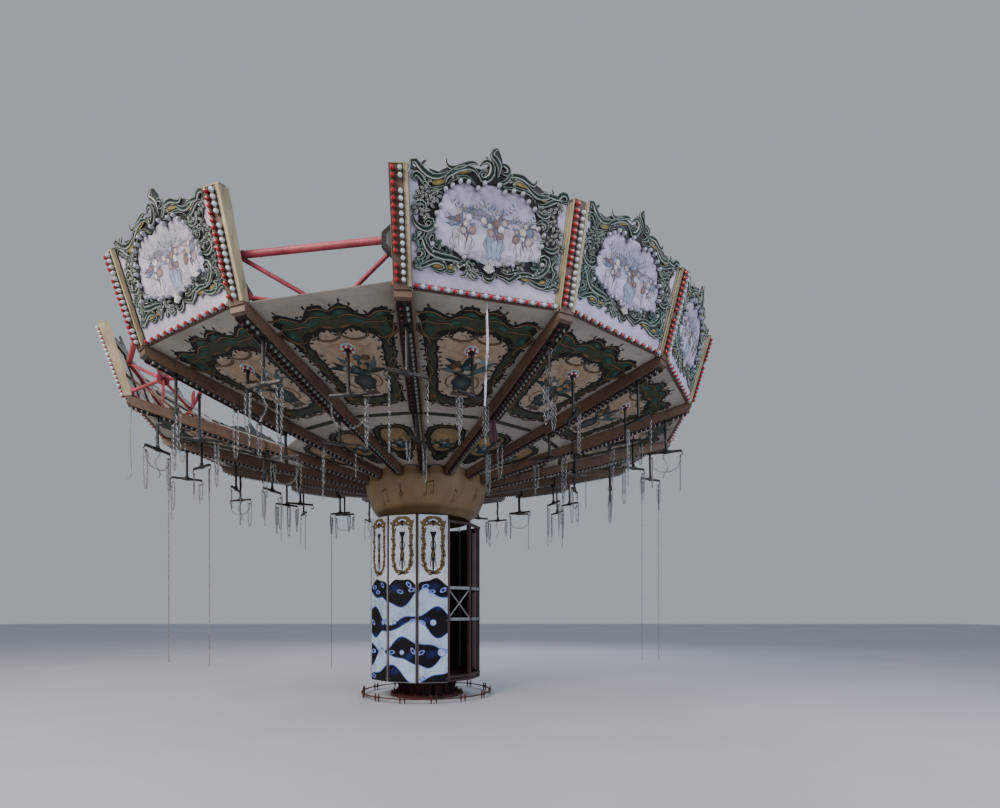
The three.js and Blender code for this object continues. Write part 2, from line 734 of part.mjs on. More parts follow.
function bayTruss(bay) {
  const middle = armAzimuth(bay + 0.5);
  // A point beside an arm's plane, on the side of this bay.
  const beside = (arm, r, z, away) => {
    const azimuth = armAzimuth(arm);
    const side = arm === bay ? away : -away;
    return polar(r, azimuth, z).add(new THREE.Vector3(-Math.sin(azimuth), Math.cos(azimuth), 0).multiplyScalar(side));
  };
  const gusset = polar(PLATE_R, middle, PLATE_LEVEL);
  const crossLevel = ceilingLevel(BAY_HANGER_R) + CEILING_THICK + CROSS_LEVEL_RISE;
  const crossHalf = BAY_HANGER_R * Math.sin(BAY / 2) - CROSS_END_GAP;
  const across = new THREE.Vector3(-Math.sin(middle), Math.cos(middle), 0);
  const crossEnd = (side) => polar(BAY_HANGER_R, middle, crossLevel).addScaledVector(across, side * crossHalf);
  const [tubeIn, braceIn] = [RING_TUBE_R / 2, BRACE_R];
  const pieces = [
    bar(beside(bay, NODE_R, NODE_LEVEL, tubeIn), beside(bay + 1, NODE_R, NODE_LEVEL, tubeIn), RING_TUBE_R, 6),
    bar(crossEnd(-1), crossEnd(1), BRACE_R),
    bar(gusset, crossEnd(-1), BRACE_R),
    bar(gusset, crossEnd(1), BRACE_R),
  ];
  for (const arm of [bay, bay + 1]) {
    pieces.push(bar(beside(arm, NODE_R - braceIn, NODE_LEVEL - braceIn, braceIn), gusset, BRACE_R));
    pieces.push(bar(beside(arm, NODE_R - RING_TUBE_R, FOOT_BRACE_LEVEL, FOOT_BRACE_SIDE), gusset, BRACE_R));
  }
  const plate = sidePlate(
    [
      [PLATE_R - PLATE_HALF, PLATE_LEVEL + PLATE_RISE],
      [PLATE_R - PLATE_HALF, PLATE_LEVEL - PLATE_RISE],
      [PLATE_R + PLATE_HALF, PLATE_LEVEL - PLATE_RISE],
      [PLATE_R + PLATE_HALF, PLATE_LEVEL + PLATE_RISE],
    ],
    PLATE_THICK,
  );
  const rod = hanger(BAY_HANGER_R, crossLevel, BAY_HANGER_DROP, YOKE_TURN + YOKE_TURN_PER_BAY * bay);
  for (const piece of [plate, ...rod]) {
    piece.rotateZ(middle);
    pieces.push(piece);
  }
  return pieces;
}

// A cord's tube along a smooth curve through its points.
function cordTube(points, radius) {
  const curve = new THREE.CatmullRomCurve3(points);
  const section = new THREE.Shape();
  section.absarc(0, 0, radius, 0, TAU);
  const steps = Math.round(curve.getLength() / (CORD_STEP * radius));
  // Four segments to a half turn of the section's arc make eight sides.
  return new THREE.ExtrudeGeometry(section, { steps, curveSegments: 4, bevelEnabled: false, extrudePath: curve });
}

// A cord's route: away from its exit, then down. Each row is [x, y, drop] from the exit.
function cordRoute(exit, direction, rows) {
  const start = [0, 1, 2].map((i) => exit.clone().addScaledVector(direction, FIT + i * CORD_START));
  const bend = start[2];
  return [...start, ...rows.map(([x, y, drop]) => new THREE.Vector3(bend.x + x, bend.y + y, bend.z - drop))];
}

// The tape's exit is under the middle of a rim board's lower edge.
function frontStrap(toRide) {
  const middle = armAzimuth(STRAP_BAY + 0.5);
  const down = new THREE.Vector3(-Math.sin(RIM_LEAN) * Math.cos(BAY / 2), 0, -Math.cos(RIM_LEAN)).normalize();
  const edge = new THREE.Vector3(RIM_R * Math.cos(BAY / 2), 0, RIM_LEVEL);
  edge.addScaledVector(new THREE.Vector3(down.z, 0, -down.x), BOARD_THICK / 2);
  const turn = (v) => v.applyAxisAngle(new THREE.Vector3(0, 0, 1), middle);
  return cordTube(cordRoute(...toRide(turn(edge), turn(down)), STRAP_ROUTE), STRAP_R);
}

// The rope's exit is in the sloping underside of an arm's outer end.
function rimRope(toRide) {
  const azimuth = armAzimuth(ROPE_ARM);
  const level = BEAM_FOOT.start[1] + (ROPE_R - BEAM_FOOT.start[0]) * BEAM_FOOT.slope;
  const down = new THREE.Vector3(BEAM_FOOT.slope, 0, -1).normalize();
  const turn = (v) => v.applyAxisAngle(new THREE.Vector3(0, 0, 1), azimuth);
  const exit = turn(new THREE.Vector3(ROPE_R, 0, level));
  return cordTube(cordRoute(...toRide(exit, turn(down)), ROPE_ROUTE), ROPE_RADIUS);
}

// Cloth wound round a hanger rod, resting on its spreader bar.
function rodWrap() {
  const low = HANGER_DROP[ARM_STEP_R] + SPREADER.height / 2 + FIT;
  const high = beamUnderside(ARM_STEP_R, OUTER_BEAM) - WRAP_GAP;
  const inner = ROD_R + WRAP_ON_ROD;
  const wrap = turned(
    [
      [inner, low],
      [WRAP_R - WRAP_HEM, low],
      [WRAP_R, low + WRAP_WAIST],
      [WRAP_NECK_R, high - WRAP_WAIST],
      [WRAP_NECK_R - WRAP_HEM, high],
      [inner, high],
    ],
    10,
  );
  wrap.translate(ARM_STEP_R, 0, 0);
  return solid(wrap);
}

function build() {
  const ride = new THREE.Group();
  ride.add(named("pedestal", pedestal(), MATERIALS.rust));
  ride.add(named("anchor_ring", anchorRing(), MATERIALS.rust));
  ride.add(named("tower_mast", towerMast(), MATERIALS.maroon));
  ride.add(named("drum_frame", drumFrame(), MATERIALS.maroon));
  WALL_BAYS.forEach((bays, i) => ride.add(named(`drum_wall_${i + 1}`, drumWall(bays), MATERIALS.drum)));

  const shaftAzimuth = LEAN_AZIMUTH + Math.PI / 2;
  const lift = named("lift_mast", liftMast(), MATERIALS.steel);
  lift.rotation.z = shaftAzimuth;
  ride.add(lift);

  // The leaning group turns about the shaft's axis.
  const shaftAxis = polar(1, shaftAzimuth, 0);
  const leaning = new THREE.Group();
  leaning.position.z = PIVOT;
  leaning.quaternion.setFromAxisAngle(shaftAxis, LEAN);
  const crown = new THREE.Group();
  crown.position.z = -PIVOT;
  leaning.add(crown);
  ride.add(leaning);

  const head = named("tilt_frame", tiltFrame(), MATERIALS.steel);
  head.rotation.z = shaftAzimuth;
  crown.add(head);
  crown.add(named("crown_hub", crownHub(), MATERIALS.maroon));
  crown.add(named("bowl", bowl(), MATERIALS.bowl));
  for (let k = 0; k < ARMS; k++) {
    const mesh = named(`arm_${twoDigits(k + 1)}`, arm(k), MATERIALS.beam);
    mesh.rotation.z = armAzimuth(k);
    crown.add(mesh);
    if (!BARE_BAYS.includes(k)) {
      const board = named(`rim_board_${twoDigits(k + 1)}`, solid(rimBoard()), MATERIALS.board);
      board.rotation.z = armAzimuth(k + 0.5);
      crown.add(board);
    }
  }
  const groups = [
    [0, 1, 2, 3],
    [4, 5, 6, 7],
    [8, 9, 10, 11],
    [12, 13, 14, 15],
  ];
  groups.forEach((bays, i) => {
    crown.add(named(`ring_truss_${i + 1}`, ringTruss(bays), MATERIALS.truss));
  });
  const sheets = [
    [0, 1, 2],
    [3, 4, 5],
    [6, 7, 8],
    [9, 10, 11],
    [12, 13, 14],
    [15],
  ];
  sheets.forEach((bays, i) => {
    crown.add(named(`ceiling_${i + 1}`, ceiling(bays), MATERIALS.ceiling));
  });
  const wrap = named("rod_wrap", rodWrap(), MATERIALS.cloth);
  wrap.rotation.z = armAzimuth(WRAP_ARM);
  crown.add(wrap);

  // The two cords hang plumb, so they are made outside the leaning group.
  const toRide = (point, direction) => {
    point.z -= PIVOT;
    point.applyQuaternion(leaning.quaternion);
    point.z += PIVOT;
    return [point, direction.applyQuaternion(leaning.quaternion)];
  };
  ride.add(named("front_strap", solid(frontStrap(toRide)), MATERIALS.tape));
  ride.add(named("rim_rope", solid(rimRope(toRide)), MATERIALS.rope));
  return ride;
}

export default build();
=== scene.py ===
"""Chair swing ride: the looks of every piece, in metres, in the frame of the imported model."""

import json
import math

import bpy
import numpy as np
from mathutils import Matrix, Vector


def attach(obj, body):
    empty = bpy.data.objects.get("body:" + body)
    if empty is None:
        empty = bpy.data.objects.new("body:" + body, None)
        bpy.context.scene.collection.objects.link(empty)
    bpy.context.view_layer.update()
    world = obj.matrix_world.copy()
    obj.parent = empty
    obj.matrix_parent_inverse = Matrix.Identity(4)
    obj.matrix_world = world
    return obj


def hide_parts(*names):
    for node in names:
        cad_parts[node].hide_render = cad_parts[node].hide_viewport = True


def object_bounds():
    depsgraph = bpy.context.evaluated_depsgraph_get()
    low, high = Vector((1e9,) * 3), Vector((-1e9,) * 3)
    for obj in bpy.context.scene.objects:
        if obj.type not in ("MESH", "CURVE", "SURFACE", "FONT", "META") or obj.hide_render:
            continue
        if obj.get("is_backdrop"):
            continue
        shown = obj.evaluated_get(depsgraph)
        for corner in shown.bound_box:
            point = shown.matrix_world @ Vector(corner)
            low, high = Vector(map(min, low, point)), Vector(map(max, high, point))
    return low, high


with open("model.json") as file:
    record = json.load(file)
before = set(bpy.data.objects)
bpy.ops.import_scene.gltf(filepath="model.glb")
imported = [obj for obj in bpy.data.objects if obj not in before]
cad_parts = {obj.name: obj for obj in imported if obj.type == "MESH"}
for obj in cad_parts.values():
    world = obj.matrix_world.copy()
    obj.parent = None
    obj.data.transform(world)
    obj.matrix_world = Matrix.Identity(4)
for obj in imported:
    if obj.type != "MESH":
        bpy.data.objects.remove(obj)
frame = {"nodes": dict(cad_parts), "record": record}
cad_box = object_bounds()

# Sizes of the ride that the pieces are set by. Lengths are in metres, and the crown's are level:
# its lean about the tilt shaft comes last.
TAU = 2 * math.pi
MM = 0.001
FIT = 0.0003  # left between pieces that touch
ARMS = 16
BAY = TAU / ARMS
HALF_BAY = BAY / 2
CROWN_AZIMUTH = math.radians(-107.8)
PIVOT = np.array([0, 0, 3.7])
LEAN = math.radians(2.3)
SHAFT = np.array([math.cos(math.radians(212)), math.sin(math.radians(212)), 0])
RIM_R, RIM_LEVEL = 5.0, 5.08
RIM_LEAN = math.atan2(0.336, 1.06)
CREST_LEVEL = 6.15  # height along the crown where a board's carved crest begins
POST_FRONT = 0.04  # how far a rim post's face stands out from the rim
BARE_BAYS = (0, 14)  # no rim board
OPEN_BAY = 14  # no outer ceiling panel
CEILING_R0, CEILING_Z0 = 1.18, 4.23
CEILING_SLOPE = (RIM_LEVEL - CEILING_Z0) / (RIM_R - CEILING_R0)
ARM_STEP_R = 3.0  # where an arm's deeper outer beam begins
OUTER_HALF, INNER_HALF = 0.1, 0.075  # half-widths of an arm's two beams
OUTER_DEPTH, INNER_DEPTH = 0.18, 0.12
HANGERS = ((4.6, 4.29), (3.0, 4.06))  # distance from the axis and level of an arm's two yokes
BAY_HANGER = (4.06, 4.29)  # the same of the yoke between two arms
YOKE_END = 0.236  # of a yoke's hooks from its rod's line
DRUM_SIDES = 12
DRUM_CORNER_R = 1.13
DRUM_AZIMUTH = math.radians(-91.7)
DRUM_STEP = TAU / DRUM_SIDES
DRUM_BAYS = (4, 5, 6, 7, 8, 9, 10, 11, 0)  # those with a board
ANCHOR_R = 1.26


# Points and places


def unit(vectors):
    """Vectors over their own length."""
    return vectors / np.maximum(np.linalg.norm(vectors, axis=-1, keepdims=True), 1e-12)


def points(x, y, z):
    """Three coordinates, numbers or arrays, as one array of points."""
    return np.stack(np.broadcast_arrays(x, y, z), axis=-1).astype(float)


def turned_z(p, azimuth):
    """Points turned about Z: x cos − y sin, x sin + y cos."""
    c, s = np.cos(azimuth), np.sin(azimuth)
    return points(p[..., 0] * c - p[..., 1] * s, p[..., 0] * s + p[..., 1] * c, p[..., 2])


def leaned(p):
    """Points of the level crown turned by its lean about the shaft (Rodrigues' formula)."""
    q = p - PIVOT
    along = (q @ SHAFT)[..., None] * SHAFT
    return q * math.cos(LEAN) + np.cross(SHAFT, q) * math.sin(LEAN) + along * (1 - math.cos(LEAN)) + PIVOT


def arm_azimuth(arm):
    """Direction of an arm from the axis. Half numbers are the middles of bays."""
    return CROWN_AZIMUTH + arm * BAY


def ceiling_level(r):
    """Level of the ceiling's underside along an arm."""
    return CEILING_Z0 + (r - CEILING_R0) * CEILING_SLOPE


def rim_radius(z):
    """Distance from the axis to the rim's slanting corner."""
    return RIM_R + (z - RIM_LEVEL) * math.tan(RIM_LEAN)


def inner_foot(r):
    """Level of an inner beam's underside."""
    return ceiling_level(r) - FIT - INNER_DEPTH


def beam_foot(r):
    """Level of an outer beam's sloping underside."""
    low = ceiling_level(ARM_STEP_R) - FIT - OUTER_DEPTH
    high = ceiling_level(RIM_R) - FIT - OUTER_DEPTH + 0.06
    return low + (r - ARM_STEP_R) * (high - low) / (RIM_R + 0.01 - ARM_STEP_R)


def on_arm(arm):
    """A place on an arm: x out from the axis, y across, z up."""
    return lambda x, y, z: leaned(turned_z(points(x, y, z), arm_azimuth(arm)))


def on_plane(origin, across, up, azimuth):
    """A place on a flat face: u across, v up and w out of it, all at right angles."""
    origin, across, up = (np.array(a, float) for a in (origin, across, unit(np.array(up, float))))
    out = np.cross(across, up)

    def place(u, v, w):
        u, v, w = (np.asarray(a, float)[..., None] for a in np.broadcast_arrays(u, v, w))
        return turned_z(origin + u * across + v * up + w * out, azimuth)

    return place


def on_crown_plane(*plane):
    """A place on a flat face of the crown."""
    place = on_plane(*plane)
    return lambda u, v, w: leaned(place(u, v, w))


def on_board(bay):
    """A rim board's face, from the middle of its lower edge."""
    up = (math.sin(RIM_LEAN) * math.cos(HALF_BAY), 0, math.cos(RIM_LEAN))
    return on_crown_plane((RIM_R * math.cos(HALF_BAY), 0, RIM_LEVEL), (0, 1, 0), up, arm_azimuth(bay + 0.5))


def on_post(arm):
    """A rim post's front face, from the height of the boards' lower edge."""
    up = (math.sin(RIM_LEAN), 0, math.cos(RIM_LEAN))
    front = (RIM_R + POST_FRONT, 0, RIM_LEVEL)
    return on_crown_plane(front, (0, 1, 0), up, arm_azimuth(arm))


def on_ceiling(bay):
    """The ceiling's underside in a bay: u across, v the level distance from the axis, w down."""
    slope = CEILING_SLOPE / math.cos(HALF_BAY)
    start = (0, 0, CEILING_Z0 - CEILING_R0 * CEILING_SLOPE)
    place = on_crown_plane(start, (0, 1, 0), (1, 0, slope), arm_azimuth(bay + 0.5))
    return lambda u, v, w: place(u, np.asarray(v) * math.hypot(1, slope), w)


def on_drum(bay):
    """A drum board's outer face: u across, v from the ground, w out."""
    face = (DRUM_CORNER_R * math.cos(DRUM_STEP / 2), 0, 0)
    return on_plane(face, (0, 1, 0), (0, 0, 1), DRUM_AZIMUTH + (bay + 0.5) * DRUM_STEP)


def on_drum_corner(corner):
    """A place at a drum's corner: x out from the axis, y across, z up."""
    return lambda x, y, z: turned_z(points(x, y, z), DRUM_AZIMUTH + corner * DRUM_STEP)


# Surfaces. Each is (points, groups of faces, colours), and a piece is made of several.


def loft_faces(count, stations, sides, closed=False):
    """Faces of `count` tubes of stations × sides points, each closed by two end faces or on itself."""
    i, j = np.meshgrid(np.arange(stations if closed else stations - 1), np.arange(sides), indexing="ij")
    after, beside = (i + 1) % stations, (j + 1) % sides
    quads = np.stack([i * sides + j, after * sides + j, after * sides + beside, i * sides + beside], -1)
    groups = [quads.reshape(-1, 4)]
    if not closed:
        ring = np.arange(sides)
        groups.append(np.stack([ring, ring[::-1] + (stations - 1) * sides]))
    shift = (np.arange(count) * stations * sides)[:, None, None]
    return [(g[None] + shift).reshape(-1, g.shape[1]) for g in groups]


def carried(path, section, up=(0, 0, 1), twist=0.0, colours=None):
    """Sections carried along paths. At each station a section's point (a, b) goes to
    path + a·side + b·rise, where side = tangent × up and rise = side × tangent, turned by twist."""
    path = np.atleast_3d(np.asarray(path, float)).reshape(-1, *np.shape(path)[-2:])
    tangent = unit(np.gradient(path, axis=1))
    side = unit(np.cross(tangent, np.broadcast_to(up, path.shape)))
    rise = np.cross(side, tangent)
    twist = np.broadcast_to(twist, path.shape[:2])[..., None]
    side, rise = side * np.cos(twist) + rise * np.sin(twist), rise * np.cos(twist) - side * np.sin(twist)
    section = np.broadcast_to(section, (*path.shape[:2], *np.shape(section)[-2:]))
    made = path[:, :, None] + section[..., :1] * side[:, :, None] + section[..., 1:] * rise[:, :, None]
    count, stations, sides = made.shape[:3]
    return made.reshape(-1, 3), loft_faces(count, stations, sides), colours


def circle(radius, sides, start=0.0):
    """A regular section, counter-clockwise."""
    angle = start + TAU * np.arange(sides) / sides
    return np.stack([radius * np.cos(angle), radius * np.sin(angle)], -1)


def rods(starts, ends, radius, sides=10, colours=None):
    """Round bars: a circle carried from each start to its end."""
    starts, ends = (np.asarray(a, float).reshape(-1, 3) for a in (starts, ends))
    leaning = np.abs(unit(ends - starts)[:, 2:]) < 0.9
    up = np.where(leaning, [[0, 0, 1.0]], [[1.0, 0, 0]])[:, None]
    return carried(np.stack([starts, ends], 1), circle(radius, sides), up, colours=colours)


def revolved(profile, sides, colours=None):
    """A solid of revolution about Z: ring i is (r cos, r sin, z), with one point at each pole."""
    r, z = np.array(profile, float).T
    angle = TAU * np.arange(sides) / sides
    rings = points(r[1:-1, None] * np.cos(angle), r[1:-1, None] * np.sin(angle), z[1:-1, None]).reshape(-1, 3)
    made = np.vstack([[[0, 0, z[0]]], rings, [[0, 0, z[-1]]]])
    i, j = np.meshgrid(np.arange(len(r) - 3), np.arange(sides), indexing="ij")
    a, b = 1 + i * sides + j, 1 + i * sides + (j + 1) % sides
    quads = np.stack([a, b, b + sides, a + sides], -1).reshape(-1, 4)
    ring = np.arange(sides)
    beside = (ring + 1) % sides
    last = len(made) - 1
    foot = np.stack([0 * ring, 1 + beside, 1 + ring], -1)
    head = np.stack([last - sides + ring, last - sides + beside, 0 * ring + last], -1)
    if colours is not None:
        colours = np.repeat(colours, [1, *[sides] * (len(r) - 2), 1], axis=0)
    return made, [quads, np.vstack([foot, head])], colours


def copies(shape, at, axis, size=1.0, across=(0.31, 0.95, 0.05)):
    """A small shape at each place: its Z goes along axis, and its X lies near across."""
    made, groups, colours = shape
    at = np.asarray(at, float).reshape(-1, 3)
    e3 = unit(np.broadcast_to(axis, at.shape))
    e2 = unit(np.cross(e3, np.broadcast_to(across, at.shape)))
    e1 = np.cross(e2, e3)
    size = np.broadcast_to(size, len(at))[:, None, None]
    x, y, z = made[None, :, :1], made[None, :, 1:2], made[None, :, 2:]
    moved = at[:, None] + size * (x * e1[:, None] + y * e2[:, None] + z * e3[:, None])
    shift = (np.arange(len(at)) * len(made))[:, None, None]
    groups = [(g[None] + shift).reshape(-1, g.shape[1]) for g in groups]
    return moved.reshape(-1, 3), groups, None if colours is None else np.tile(colours, (len(at), 1))


def boxes(place, lows, highs, colours=None):
    """Blocks between two corners in a place's own u, v and w."""
    lows, highs = (np.asarray(a, float).reshape(-1, 3) for a in (lows, highs))
    share = np.array([[0, 0], [1, 0], [1, 1], [0, 1]], float)
    u = lows[:, None, None, 0] + share[None, None, :, 0] * (highs - lows)[:, None, None, 0]
    w = lows[:, None, None, 2] + share[None, None, :, 1] * (highs - lows)[:, None, None, 2]
    v = np.stack([lows[:, 1], highs[:, 1]], 1)[:, :, None]
    made = place(*np.broadcast_arrays(u, v, w))
    return made, loft_faces(len(lows), 2, 4), colours


def smooth(through, count, closed=False):
    """A Catmull-Rom curve through the rows, resampled at `count` equal steps of its length."""
    p = np.asarray(through, float)
    p = np.vstack([p[-1], p, p[0], p[1]]) if closed else np.vstack([2 * p[0] - p[1], p, 2 * p[-1] - p[-2]])
    t = np.linspace(0, 1, 12, endpoint=False)[:, None, None]
    a, b, c, d = p[:-3], p[1:-2], p[2:-1], p[3:]
    curve = b + 0.5 * t * (c - a + t * (2 * a - 5 * b + 4 * c - d + t * (3 * (b - c) + d - a)))
    fine = np.vstack([curve.transpose(1, 0, 2).reshape(-1, p.shape[1]), p[-2]])
    length = np.concatenate([[0], np.cumsum(np.linalg.norm(np.diff(fine, axis=0), axis=1))])
    steps = np.linspace(0, length[-1], count, endpoint=not closed)
    return np.stack([np.interp(steps, length, axis) for axis in fine.T], -1)


# Scrollwork: lines are complex numbers in millimetres on a face.

# Sections of a carved or painted stroke: shares of its half-width and of its height.
REED = np.array([[-1, 0], [-0.8, 0.85], [-0.45, 1.0], [0, 0.6], [0.45, 0.8], [0.8, 0.8], [1, 0]])
PETAL = np.array([[-1, 0], [-0.55, 0.9], [0, 0.6], [0.55, 0.9], [1, 0]])
FLUTE = np.array([[-1, 0], [-0.6, 0.9], [0, 1.0], [0.6, 0.9], [1, 0]])
FLAT = np.array([[-1, 0], [0, 1], [1, 0]])


def mirrored(half):
    """Points or lines with u over 0, and their reflections after them."""
    half = np.asarray(half)
    return np.concatenate([half, -np.conj(half)])


def stroke_line(row, count=17, closed=False):
    """The curve through a row of u and v by turns, as complex numbers."""
    line = smooth(np.reshape(row, (-1, 2)), count, closed)
    return line[:, 0] + 1j * line[:, 1]


def round_line(through, centre, count):
    """A closed line through points: their distance from a centre, taken between them by direction."""
    arms = np.asarray(through) - centre
    order = np.argsort(np.angle(arms))
    angle = np.linspace(-math.pi, math.pi, count, endpoint=False)
    reach = np.interp(angle, np.angle(arms)[order], np.abs(arms)[order], period=TAU)
    return centre + reach * np.exp(1j * angle)


def blob(centre, across, up, wobble=0.08, lobes=5, phase=0.0, turn=0.0, count=36):
    """A closed line round a centre: an ellipse whose radius swells by wobble·cos(lobes·φ + phase)
    and by a third of that at three times as many lobes."""
    angle = TAU * np.arange(count) / count
    swell = 1 + wobble * np.cos(lobes * angle + phase) + wobble / 3 * np.cos(3 * lobes * angle + 2 * phase)
    return centre + swell * (across * np.cos(angle) + 1j * up * np.sin(angle)) * np.exp(1j * turn)


def scroll_lines(rows, count=18):
    """Flourishes from rows of start, end, turn, curl and kind. A line's heading is
    turn·s/2 + curl·s⁵ for a C and turn·s²/2 + curl·s⁶ for an S, s from −1 to 1, and its running
    sum is turned and scaled to reach from start to end."""
    start, end, turn, curl, kind = (np.array(c)[:, None] for c in zip(*rows))
    s = np.sin(np.linspace(-math.pi / 2, math.pi / 2, 241))
    heading = np.where(kind == "C", turn * s / 2 + curl * s**5, turn * s**2 / 2 + curl * s**6)
    step = np.exp(1j * (heading[:, 1:] + heading[:, :-1]) / 2) * np.diff(s)
    line = np.concatenate([0 * start, np.cumsum(step, axis=1)], axis=1)
    line = start + line * (end - start) / line[:, -1:]
    return line[:, np.linspace(0, 240, count).round().astype(int)]


def leaf_lines(base, angle, length, bend, count=6):
    """Leaves: base + length·t·exp(i(angle + bend·t))."""
    rows = np.broadcast_arrays(base, angle, length, bend)
    base, angle, length, bend = (np.asarray(row)[:, None] for row in rows)
    t = np.linspace(0, 1, count)
    return base + length * t * np.exp(1j * (angle + bend * t))


def ridges(place, lines, half, height, colours, section=REED, taper=0.3, base=0.0):
    """Raised strokes: at each station the section is set across the line, its width and height
    falling to `taper` at the ends as taper + (1 − taper)·cos(πs/2)^0.8. All lengths in millimetres."""
    count, stations = lines.shape
    s = np.linspace(-1, 1, stations)
    share = taper + (1 - taper) * np.maximum(np.cos(math.pi * s / 2), 0) ** 0.8
    normal = 1j * np.gradient(lines, axis=1)
    normal /= np.maximum(np.abs(normal), 1e-9)
    half, height = (np.broadcast_to(a, count)[:, None, None] for a in (half, height))
    share = share[None, :, None]
    across = lines[:, :, None] + normal[:, :, None] * (half * share * section[:, 0])
    rise = base + height * share * section[:, 1]
    made = place(across.real * MM, across.imag * MM, rise * MM)
    shade = np.broadcast_to(np.asarray(colours, float), (count, len(section), 3))
    shade = np.broadcast_to(shade[:, None], (count, stations, len(section), 3)).reshape(-1, 3)
    return made, loft_faces(count, stations, len(section)), shade


def band(place, inner, outer, base, height, colour=None, colour_out=None):
    """A flat ring between two closed lines of as many points, `height` thick over `base`."""
    rows = np.stack([inner, outer, outer, inner], 1)
    rise = np.array([base, base, base + height, base + height])
    made = place(rows.real * MM, rows.imag * MM, np.broadcast_to(rise * MM, rows.shape))
    if colour_out is not None:
        colour = np.tile([colour, colour_out, colour_out, colour], (len(inner), 1))
    return made, loft_faces(1, len(inner), 4, closed=True), colour


def patch(place, outline, centre, base, height, inside, edge, rings=4):
    """A low filled shape: rings centre + (outline − centre)·k/rings, with a colour that runs from
    inside to edge, closed underneath by one face."""
    k = np.arange(1, rings + 1) / rings
    grid = (centre + (outline[None] - centre) * k[:, None])[::-1]
    n = len(outline)
    flat = np.concatenate([grid[:1].ravel(), grid.ravel(), [centre]])
    rise = np.concatenate([np.full(n, base), np.full(n * rings + 1, base + height)])
    made = place(flat.real * MM, flat.imag * MM, rise * MM)
    ring = np.arange(n)
    beside = (ring + 1) % n
    level = np.arange(rings)[:, None] * n
    quads = np.stack([level + ring, level + beside, level + n + beside, level + n + ring], -1).reshape(-1, 4)
    last = n * (rings + 1)
    tip = np.stack([last - n + ring, last - n + beside, 0 * ring + last], -1)
    mix = np.concatenate([np.ones(n), np.repeat(k[::-1], n), [0]])[:, None]
    shade = np.array(inside) * (1 - mix) + np.array(edge) * mix
    return made, [quads, tip, ring[::-1][None]], shade


def ringed(place, line, at, base, inside, edge, ink, width=4.0):
    """A filled shape with a line round it."""
    out = at + (line - at) * (1 + width / np.abs(line - at))
    return [patch(place, line, at, base, 0.4, inside, edge, 1), band(place, line, out, base, 0.7, ink)]


def slab(place, outline, base, height, colour=None):
    """A flat plate between two levels, with any closed outline, in millimetres on a face."""
    rise = np.array([[base], [base + height]]) * MM
    made = place(*np.broadcast_arrays(outline.real * MM, outline.imag * MM, rise))
    return made, loft_faces(1, 2, len(outline)), colour


# Colour and materials

CHIP_SIZE = 0.02


def linear(code):
    """sRGB hex to linear numbers."""
    c = np.array([int(code[i : i + 2], 16) for i in (1, 3, 5)]) / 255
    return np.where(c <= 0.04045, c / 12.92, ((c + 0.055) / 1.055) ** 2.4)


def tones(*codes):
    """Several sRGB hex codes as rows of linear numbers."""
    return np.array([linear(code) for code in codes])


def wire(tree, made, inputs):
    """Gives each input of a node its value or its link. A hex code becomes its linear colour."""
    for socket, value in inputs.items():
        if isinstance(value, bpy.types.NodeSocket):
            tree.links.new(value, made.inputs[socket])
        else:
            made.inputs[socket].default_value = (*linear(value), 1.0) if isinstance(value, str) else value


def node(tree, kind, inputs=None, **settings):
    """Adds a shader node with its settings, and each input's value or link."""
    made = tree.nodes.new("ShaderNode" + kind)
    for name, value in settings.items():
        setattr(made, name, value)
    wire(tree, made, inputs or {})
    return made


def new_material(name):
    """An empty node material: its tree and its surface shader."""
    material = bpy.data.materials.new(name)
    material.use_nodes = True
    tree = material.node_tree
    tree.nodes.clear()
    shader = node(tree, "BsdfPrincipled")
    node(tree, "OutputMaterial", {"Surface": shader.outputs[0]})
    return material, tree, shader


def mottle(tree, where, size, detail=4.0, roughness=0.55, stretch=(1, 1, 1), offset=0.0):
    """Lumps about `size` metres wide, pulled out by stretch."""
    scale = tuple(1 / (size * s) for s in stretch)
    shift = (offset, offset * 1.7, offset * 0.6)
    moved = node(tree, "Mapping", {"Vector": where, "Scale": scale, "Location": shift}).outputs[0]
    inputs = {"Vector": moved, "Scale": 1.0, "Detail": detail, "Roughness": roughness}
    return node(tree, "TexNoise", inputs).outputs["Fac"]


def rising(pattern, low, high, least, most):
    """What a range needs to go from least to most, slowly at both ends, as a pattern goes from low to
    high."""
    return {"Value": pattern, "From Min": low, "From Max": high, "To Min": least, "To Max": most}


def laid_over(tree, under, over, pattern, low=0.0, high=1.0, least=0.0, most=1.0):
    """One colour over another, whose share goes from least to most as a pattern goes from low to high."""
    share = node(tree, "MapRange", rising(pattern, low, high, least, most), interpolation_type="SMOOTHSTEP")
    return node(tree, "Mix", {0: share.outputs[0], 6: under, 7: over}, data_type="RGBA").outputs[2]


def outward(tree, position):
    """1 on faces that look away from the ride's axis, 0 on those that look towards it."""
    normal = node(tree, "TexCoord").outputs["Normal"]
    flat = node(tree, "VectorMath", {0: position, 1: (1, 1, 0)}, operation="MULTIPLY").outputs[0]
    dot = node(tree, "VectorMath", {0: flat, 1: normal}, operation="DOT_PRODUCT").outputs["Value"]
    return node(tree, "Math", {0: dot, 1: 0.0}, operation="GREATER_THAN").outputs[0]


